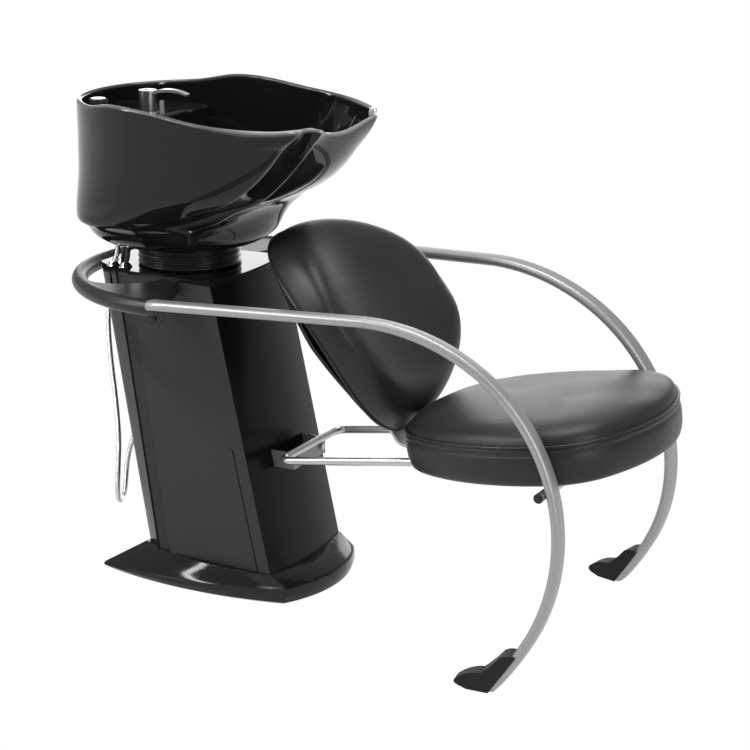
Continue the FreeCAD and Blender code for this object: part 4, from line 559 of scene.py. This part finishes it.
verts.append(SEAT + seat_along * SEAT_WIDE_AT + seat_up * SEAT_PEAK)
faces += [(top - count + j, top - count + (j + 1) % count, top) for j in range(count)]
seat = link("seat_pad", verts, faces, hide)
seat_thick = seat.modifiers.new("cloth_edge", "SOLIDIFY")
seat_thick.thickness, seat_thick.offset = CLOTH_T, -1
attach(seat, "frame")
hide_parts("seat_cushion")

piping = hide_finish("piping_cord_cloth", 0.26)


def piping_along(name, points, radius):
    """A corded edge: a thin round tube that follows the seam."""
    curve = bpy.data.curves.new(name, "CURVE")
    curve.dimensions = "3D"
    curve.bevel_depth, curve.bevel_resolution = radius, 3
    spline = curve.splines.new("POLY")
    spline.points.add(len(points) - 1)
    for point, where in zip(spline.points, points):
        point.co = (*where, 1)
    spline.use_cyclic_u = True
    spline.use_smooth = True
    curve.materials.append(piping)
    obj = bpy.data.objects.new(name, curve)
    bpy.context.scene.collection.objects.link(obj)
    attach(obj, "frame")


SEAT_SEAMS = (  # name, inset, height, cord radius
    ("seat_piping", 0.0006, 0.0006, 0.0030),
    ("seat_lower_seam", 0.0016, -0.0142, 0.0011),
)
for name, inset, lift, radius in SEAT_SEAMS:
    piping_along(name, [seat_point(u, w, inset, lift) for u, w in seat_outline], radius)

# Backrest.
# Round domed pad that leans back, wrapped in the same cloth with a corded edge,
# on a thin moulded shell that closes its rear.
BACK = Vector((0.356, 0.0, 0.543))
BACK_LEAN = math.radians(37.9)
back_up = Vector((-math.sin(BACK_LEAN), 0, math.cos(BACK_LEAN)))
back_out = Vector((math.cos(BACK_LEAN), 0, math.sin(BACK_LEAN)))
BACK_HALF_L, BACK_HALF_W, BACK_DEPTH = 0.227, 0.226, 0.108
BACK_WRAP, BACK_REAR, BACK_TAPER = 0.074, 0.012, 0.05


def back_point(s_share, y_share, height, grow=0.0):
    """Place on the pad, by shares of its half length and width and the height off its plane."""
    s = -BACK_TAPER * BACK_HALF_L * y_share * y_share + (BACK_HALF_L + grow) * s_share
    return BACK + back_up * s + back_out * (BACK_WRAP * y_share * y_share + height) + \
        Vector((0, (BACK_HALF_W + grow) * y_share, 0))


LONGWAYS, LONGWAYS_DROP, SIDEWAYS = 4.5, 0.44, 3  # powers that keep the middle full


def dome(s, y):
    """Height of the pad's front: full in the middle, steep at the edge."""
    reach = s / math.sqrt(max(1e-9, 1 - y * y)) if abs(y) < 1 else 0.0
    longways = max(0.0, 1 - min(1, abs(reach)) ** LONGWAYS) ** LONGWAYS_DROP
    sideways = (1 - abs(y) ** SIDEWAYS) ** (1 / SIDEWAYS)
    return BACK_DEPTH * (longways * sideways)


BACK_SPOKES, BACK_RINGS = 128, 30
RING_CROWDING = 0.9
BACK_SAG, BACK_SAG_RATE = 0.0025, 8.0
verts, faces = [], []
front_rows, rear_rows = [], []
for in_front, rows, rings in ((True, front_rows, BACK_RINGS + 1), (False, rear_rows, BACK_RINGS)):
    for k in range(rings):
        r = math.sin(math.pi / 2 * k / BACK_RINGS) ** RING_CROWDING
        ring = []
        for j in range(BACK_SPOKES if k else 1):
            turn = 2 * math.pi * j / BACK_SPOKES
            s, y = r * math.cos(turn), r * math.sin(turn)
            if in_front:
                height = dome(s, y) if r < 1 else 0.0
            else:
                height = -BACK_REAR * (1 - r * r)
            p = back_point(s, y, height)
            if in_front and 0 < k < BACK_RINGS:
                p += back_out * noise.noise(p * BACK_SAG_RATE) * BACK_SAG
            ring.append(len(verts))
            verts.append(p)
        rows.append(ring)
rear_rows.append(front_rows[-1])
for rows, flip in ((front_rows, False), (rear_rows, True)):
    for inner, outer in zip(rows, rows[1:]):
        for j in range(BACK_SPOKES):
            n = (j + 1) % BACK_SPOKES
            if len(inner) == 1:
                face = (inner[0], outer[n], outer[j])
            else:
                face = (inner[j], inner[n], outer[n], outer[j])
            faces.append(face if flip else face[::-1])
backrest = link("backrest_pad", verts, faces, hide)
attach(backrest, "frame")
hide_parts("backrest_cushion")
RIM_POINTS, CORD_LIFT, CORD_IN, CORD_R = 160, 0.0005, -0.001, 0.0032
rim_turns = [2 * math.pi * j / RIM_POINTS for j in range(RIM_POINTS)]
back_rim = [back_point(math.cos(t), math.sin(t), CORD_LIFT, CORD_IN) for t in rim_turns]
piping_along("backrest_piping", back_rim, CORD_R)
rounded_copy("backrest_shell", 0.002, black_gloss)

# Basin.
# Black glazed ceramic, cast in one piece: wide rear bowl with a tap deck, a rolled rim, two
# horns round the neck rest and a flute down each side. It sits on the tilt head.
BOWL_LEVELS = (  # height, rear, half width, straight from, to, outer crease x, y, inner x, y, front
    (1.010, -0.214, 0.246, 0.060, 0.165, 0.356, 0.150, 0.386, 0.104, 0.374),
    (0.955, -0.214, 0.245, 0.060, 0.160, 0.348, 0.150, 0.374, 0.106, 0.363),
    (0.920, -0.214, 0.244, 0.060, 0.140, 0.320, 0.172, 0.352, 0.117, 0.357),
    (0.880, -0.214, 0.243, 0.055, 0.110, 0.290, 0.176, 0.320, 0.120, 0.342),
    (0.840, -0.213, 0.241, 0.040, 0.070, 0.250, 0.180, 0.284, 0.127, 0.310),
    (0.806, -0.212, 0.237, 0.010, 0.030, 0.200, 0.185, 0.244, 0.130, 0.262),
    (0.785, -0.210, 0.232, -0.020, -0.005, 0.140, 0.196, 0.200, 0.146, 0.218),
    (0.765, -0.206, 0.225, -0.050, -0.040, 0.070, 0.207, 0.168, 0.162, 0.198),
    (0.745, -0.200, 0.214, -0.070, -0.060, 0.000, 0.210, 0.120, 0.180, 0.189),
    (0.735, -0.192, 0.200, -0.060, -0.050, 0.000, 0.196, 0.110, 0.174, 0.185),
    (0.712, -0.182, 0.186, -0.040, -0.030, 0.010, 0.182, 0.100, 0.158, 0.174),
    (0.693, -0.154, 0.156, -0.020, -0.010, 0.015, 0.154, 0.086, 0.130, 0.148),
    (0.684, -0.114, 0.114, -0.005, 0.000, 0.020, 0.113, 0.070, 0.092, 0.114))
heights = [row[0] for row in reversed(BOWL_LEVELS)]
columns = list(zip(*(row[1:] for row in reversed(BOWL_LEVELS))))
gaps = [high - low for low, high in zip(heights, heights[1:])]
slopes = []
for values in columns:
    steps = [(above - below) / gap for below, above, gap in zip(values, values[1:], gaps)]
    slope = [steps[0]]
    for a, b in zip(steps, steps[1:]):
        slope.append(0.0 if a * b <= 0 else 2 * a * b / (a + b))
    slope.append(steps[-1])
    slopes.append(slope)


def bowl_level(z):
    """The basin's outline sizes at a height, on curves that pass smoothly through the table."""
    z = min(max(z, heights[0]), heights[-1])
    k = max(i for i in range(len(gaps)) if heights[i] <= z)
    h = gaps[k]
    t = (z - heights[k]) / h
    out = []
    for values, slope in zip(columns, slopes):
        p0, p1 = values[k], values[k + 1]
        m0, m1 = slope[k] * h, slope[k + 1] * h
        out.append((2 * t ** 3 - 3 * t ** 2 + 1) * p0 + (t ** 3 - 2 * t ** 2 + t) * m0 +
                   (3 * t ** 2 - 2 * t ** 3) * p1 + (t ** 3 - t ** 2) * m1)
    return out


def arc_points(a, b, c, shares):
    """Points at these shares of the arc from a through b to c."""
    ax, ay, bx, by, cx, cy = *a, *b, *c
    d = 2 * (ax * (by - cy) + bx * (cy - ay) + cx * (ay - by))
    if abs(d) < 1e-9:
        return [(ax + (cx - ax) * s, ay + (cy - ay) * s) for s in shares]
    aa, bb, cc = ax * ax + ay * ay, bx * bx + by * by, cx * cx + cy * cy
    ux = (aa * (by - cy) + bb * (cy - ay) + cc * (ay - by)) / d
    uy = (aa * (cx - bx) + bb * (ax - cx) + cc * (bx - ax)) / d
    r = math.hypot(ax - ux, ay - uy)
    t0, t1, t2 = (math.atan2(p[1] - uy, p[0] - ux) for p in (a, b, c))
    turn = (t2 - t0) % (2 * math.pi)
    if (t1 - t0) % (2 * math.pi) > turn:
        turn -= 2 * math.pi
    return [(ux + r * math.cos(t0 + turn * s), uy + r * math.sin(t0 + turn * s)) for s in shares]


REAR_STEPS, STRAIGHT_STEPS = 26, 8
# shares of each arc, with one more sample close beside a crease, where the edge turns tightly
SIDE_SHARES = [k / 20 for k in range(20)] + [0.990]
FLUTE_SHARES = [0.0, 0.03] + [k / 12 for k in range(1, 12)] + [0.97]
FRONT_SHARES = [0.0, 0.008] + [k / 28 for k in range(1, 14)]
OUTER_FOLLOWS, INNER_FOLLOWS = 0.8, 0.5  # how far a crease moves in with the wall
FLUTE_DEPTH = 0.1


def half_outline(z, inset=0.0):
    """Half of the outline, from the rear middle round the left side to the front middle."""
    rear, wide, x0, x1, ox, oy, ix, iy, front = bowl_level(z)
    rear, wide, front = rear + inset, wide - inset, front - inset
    ox, oy = ox - inset * OUTER_FOLLOWS, oy - inset * OUTER_FOLLOWS
    ix, iy = ix - inset, iy - inset * INNER_FOLLOWS
    dx, dy = ox - x1, wide - oy
    r = (dx * dx + dy * dy) / (dy * 2)
    half_turn = math.asin(min(1, dx / r)) / 2
    side_mid = (x1 + r * math.sin(half_turn), wide - r + r * math.cos(half_turn))
    flute = ((ox + ix) / 2 - FLUTE_DEPTH * (oy - iy), (oy + iy) / 2 - FLUTE_DEPTH * (ix - ox))
    rear_turns = [math.pi / 2 * k / REAR_STEPS for k in range(REAR_STEPS)]
    points = [(x0 - (x0 - rear) * math.cos(t), wide * math.sin(t)) for t in rear_turns]
    points += [(x0 + (x1 - x0) * k / STRAIGHT_STEPS, wide) for k in range(STRAIGHT_STEPS)]
    points += arc_points((x1, wide), side_mid, (ox, oy), SIDE_SHARES)
    points += arc_points((ox, oy), flute, (ix, iy), FLUTE_SHARES)
    points += arc_points((ix, iy), (front, 0.0), (ix, -iy), FRONT_SHARES)
    points.append((front, 0.0))
    return points


RIM = (  # x and height of the rim's line, from the rear to the front
    (-0.300, 0.976), (-0.095, 0.976), (-0.078, 0.9775), (-0.060, 0.9825), (-0.043, 0.9875),
    (-0.025, 0.989), (0.030, 0.9862), (0.085, 0.9795), (0.140, 0.971), (0.200, 0.9645),
    (0.260, 0.9595), (0.309, 0.956), (0.375, 0.959), (0.460, 0.959))
DIP_FROM_X, DIP_HALF_W, DIP, DIP_LOW_Z = 0.305, 0.124, 0.025, 0.934
dip_r = (DIP_HALF_W ** 2 + DIP ** 2) / (DIP * 2)


def rim_height(x, y):
    """Height of the rim: its line along the sides, and a round dip at the neck rest."""
    for (xa, za), (xb, zb) in zip(RIM, RIM[1:]):
        if xa <= x <= xb:
            z = za + (zb - za) * ((x - xa) / (xb - xa))
            break
    if x > DIP_FROM_X and abs(y) < DIP_HALF_W:
        z = min(z, DIP_LOW_Z + dip_r - math.sqrt(dip_r ** 2 - y * y))
    return z


LOW_Z, WALL, ROLL = 0.684, 0.012, 0.006
MEAN_RIM_Z, RIM_PASSES, SOFTENINGS = 0.965, 4, 3
HALF = len(half_outline(MEAN_RIM_Z))
# samples run from the rear middle round the left side to the front, then back along the right
AROUND = 2 * (HALF - 1)


def whole_outline(z_of, inset):
    """The outline all round, each sample at its own height."""
    points = []
    for k in range(AROUND):
        i = k if k < HALF else AROUND - k
        x, y = half_outline(z_of[k], inset)[i]
        points.append((x, y if k < HALF else -y))
    return points


def ring_at(z_of, inset):
    """Ring of the basin's skin, with a height for each sample."""
    return [(x, y, z) for (x, y), z in zip(whole_outline(z_of, inset), z_of)]


def circle(radius, turns, z, centre_x=0.0):
    """Ring of points on a circle, one for each sample's turn."""
    return [(centre_x + radius * math.cos(t), radius * math.sin(t), z) for t in turns]


rim_z = [MEAN_RIM_Z] * AROUND
for _ in range(RIM_PASSES):
    rim_z = [rim_height(x, y) for x, y in whole_outline(rim_z, ROLL)]
for _ in range(SOFTENINGS):
    rim_z = [(rim_z[k - 1] + rim_z[k] * 2 + rim_z[(k + 1) % AROUND]) / 4 for k in range(AROUND)]

# the cavity under the floor, up the outside, over the rolled rim and down the inside
CAVITY_R, CAVITY_TOP, CLOSED = 0.084, 0.776, 0.02
UP_STEPS, ROLL_STEPS, IN_STEPS = 58, 10, 40
turns = [math.atan2(y, x) for x, y in whole_outline([LOW_Z] * AROUND, 0.0)]
rings = [circle(CAVITY_R * CLOSED, turns, CAVITY_TOP), circle(CAVITY_R, turns, CAVITY_TOP),
         circle(CAVITY_R, turns, LOW_Z)]
for k in range(UP_STEPS + 1):
    rings.append(ring_at([LOW_Z + (z - ROLL - LOW_Z) * (k / UP_STEPS) for z in rim_z], 0.0))
for k in range(1, ROLL_STEPS + 1):
    turn = math.pi * k / ROLL_STEPS
    rings.append(ring_at([z - ROLL + ROLL * math.sin(turn) for z in rim_z],
                         ROLL - ROLL * math.cos(turn)))
FLOOR_Z, FLOOR_ROUND, FLOOR_REACH, FLOOR_FALL = 0.788, 0.030, 0.046, 0.0008
ROUND_STEPS, FLOOR_STEPS = 8, 12
low_wall = FLOOR_Z + FLOOR_ROUND
for k in range(1, IN_STEPS + 1):
    rings.append(ring_at([z - ROLL + (low_wall - z + ROLL) * (k / IN_STEPS) for z in rim_z], WALL))
for k in range(1, ROUND_STEPS + 1):
    turn = math.pi / 2 * k / ROUND_STEPS
    rings.append(ring_at([low_wall - FLOOR_ROUND * math.sin(turn)] * AROUND,
                         WALL + FLOOR_REACH * (1 - math.cos(turn))))
# the floor falls to the drain's recess and its hole
DRAIN, DRAIN_R = Vector((-0.004, 0.0, FLOOR_Z)), 0.0322
RECESS, HOLE_R, HOLE_END = 0.0042, 0.018, 0.0005
floor_edge = rings[-1]
drain_turns = [math.atan2(y - DRAIN.y, x - DRAIN.x) for x, y, z in floor_edge]
for k in range(1, FLOOR_STEPS + 1):
    share = k / FLOOR_STEPS
    ring = []
    for (x, y, z), t in zip(floor_edge, drain_turns):
        cx, cy = DRAIN.x + DRAIN_R * math.cos(t), DRAIN.y + DRAIN_R * math.sin(t)
        ring.append((x + (cx - x) * share, y + (cy - y) * share, FLOOR_Z - FLOOR_FALL * share))
    rings.append(ring)
rings.append(circle(DRAIN_R, drain_turns, FLOOR_Z - RECESS, DRAIN.x))
rings.append(circle(HOLE_R, drain_turns, FLOOR_Z - RECESS, DRAIN.x))
rings.append(circle(HOLE_R, drain_turns, CAVITY_TOP + HOLE_END, DRAIN.x))
verts = [p for ring in rings for p in ring]
faces = [(a, d, c, b) for a, b, c, d in ring_quads(len(rings), AROUND)]
# tap deck at the rear: a flat shelf with a rounded front edge
DECK_X, DECK_Z, DECK_ROUND, DECK_SUNK = -0.076, 0.926, 0.010, 0.001
DECK_XS = (-0.10, -0.13, -0.16, -0.185, -0.200, -0.2055)
DECK_IN, DECK_FOOT_IN, DECK_FOOT_Z, DECK_HALF = 0.008, 0.030, 0.83, 10
deck_profile = [(DECK_X, FLOOR_Z - DECK_SUNK)]
for k in range(ROUND_STEPS + 1):
    turn = math.pi / 2 * k / ROUND_STEPS
    deck_profile.append((DECK_X - DECK_ROUND + DECK_ROUND * math.cos(turn),
                         DECK_Z - DECK_ROUND + DECK_ROUND * math.sin(turn)))
deck_profile += [(x, DECK_Z) for x in DECK_XS]
deck_rows = []
for x, z in deck_profile:
    reach = half_outline(z, DECK_IN if z > DECK_FOOT_Z else DECK_FOOT_IN)
    width = 0.0
    for (xa, ya), (xb, yb) in zip(reach, reach[1:REAR_STEPS]):
        if xa <= x <= xb:
            width = ya + (yb - ya) * (x - xa) / max(1e-9, xb - xa)
    deck_rows.append([(x, width * (j / DECK_HALF - 1), z) for j in range(2 * DECK_HALF + 1)])
deck_start, across_deck = len(verts), 2 * DECK_HALF + 1
for row in deck_rows:
    verts += row
for k in range(len(deck_rows) - 1):
    for j in range(across_deck - 1):
        a = deck_start + k * across_deck + j
        faces.append((a, a + 1, a + across_deck + 1, a + across_deck))
glaze = finish("black_glaze", (0.006, 0.006, 0.0065), 0.06, specular=0.27, tint=0.1, spread=0.02,
               speck=8.0, grain=0.02, grain_scale=60.0)
# painted highlight: sharp edges are painted paler, on the creases as on the rim, but not on the pod
# below, standing in for the lamps' bright reflections there
PAINTED_EDGE_HIGHLIGHT = (0.26, 0.26, 0.265, 1)
RIM_SIDE, RIM_FROM, RIM_FULL = (-0.3, 0.0, 1.0), 0.87, 0.90
POD_TOP, POD_CLEAR = 0.755, 0.80
CREASE_SHARP, RIM_SHARP = (0.506, 0.535), (0.515, 0.56)
tree = glaze.node_tree
shader = tree.nodes["Principled BSDF"]
surface = tree.nodes.new("ShaderNodeNewGeometry")
place = tree.nodes.new("ShaderNodeTexCoord")
toward_rim = along(tree, place, RIM_SIDE)
limits = [ramp(tree, toward_rim, RIM_FROM, RIM_FULL, on_crease, on_rim)
          for on_crease, on_rim in zip(CREASE_SHARP, RIM_SHARP)]
# where the painted highlight lies, by how sharp the surface turns
sharp = ramp(tree, surface.outputs["Pointiness"], *limits)
above_pod = ramp(tree, along(tree, place, (0.0, 0.0, 1.0)), POD_TOP, POD_CLEAR)
black = shader.inputs["Base Color"].links[0].from_socket
# the black glaze mixed with the painted highlight colour on sharp edges
glaze_with_painted_highlight = mixed(tree, maths(tree, "MULTIPLY", sharp, above_pod), black, PAINTED_EDGE_HIGHLIGHT)
tree.links.new(glaze_with_painted_highlight, shader.inputs["Base Color"])
basin = link("basin_glazed", verts, faces, glaze)
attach(basin, "bowl")
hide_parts("bowl")

# Neck sleeve.
# Ribbed rubber bellows, moulded, round the tilt joint, from the column's cap up to the basin.
SLEEVE_LOW, SLEEVE_TOP, SLEEVE_R, SLEEVE_WALL = 0.640, 0.6836, 0.104, 0.003
RIBS, RIB_DEPTH, RIB_POWER = 4, 0.005, 0.8
SLEEVE_ROWS, SLEEVE_SPOKES = 48, 96
spokes = [2 * math.pi * j / SLEEVE_SPOKES for j in range(SLEEVE_SPOKES)]
verts = []
for k in range(SLEEVE_ROWS + 1):
    share = k / SLEEVE_ROWS
    wave = 0.5 - 0.5 * math.cos(share * RIBS * 2 * math.pi)
    radius = SLEEVE_R - RIB_DEPTH + RIB_DEPTH * wave ** RIB_POWER
    verts += circle(radius, spokes, SLEEVE_LOW + (SLEEVE_TOP - SLEEVE_LOW) * share)
faces = ring_quads(SLEEVE_ROWS + 1, SLEEVE_SPOKES)
bellows_rubber = finish("bellows_rubber", (0.018, 0.018, 0.018), 0.3, specular=0.45, grain=0.1)
sleeve = link("neck_bellows", verts, faces, bellows_rubber)
skin = sleeve.modifiers.new("wall", "SOLIDIFY")
skin.thickness, skin.offset = SLEEVE_WALL, -1
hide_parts("neck_sleeve")
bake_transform(sleeve)

# Tap, spray and drain.
# Chromed single-lever tap held by a nut under the deck, a black plastic hand spray in its
# holder, and a chromed strainer that lifts out of the drain.
soft_chrome = finish("handled_chrome", (0.86, 0.86, 0.87), 0.24, metallic=1.0, tint=0.03,
                     spread=0.05, speck=30.0)
spray_plastic = finish("spray_plastic", (0.02, 0.02, 0.021), 0.42, specular=0.25, grain=0.1)
dress(["mixer_body", "mixer_cap", "mixer_lever", "lever_pin"], soft_chrome)
dress(["drain_body", "drain_strainer", "spray_face"], chrome)
dress(["shower_handset", "spray_holder", "shower_gland", "hot_gland", "cold_gland"],
      spray_plastic)
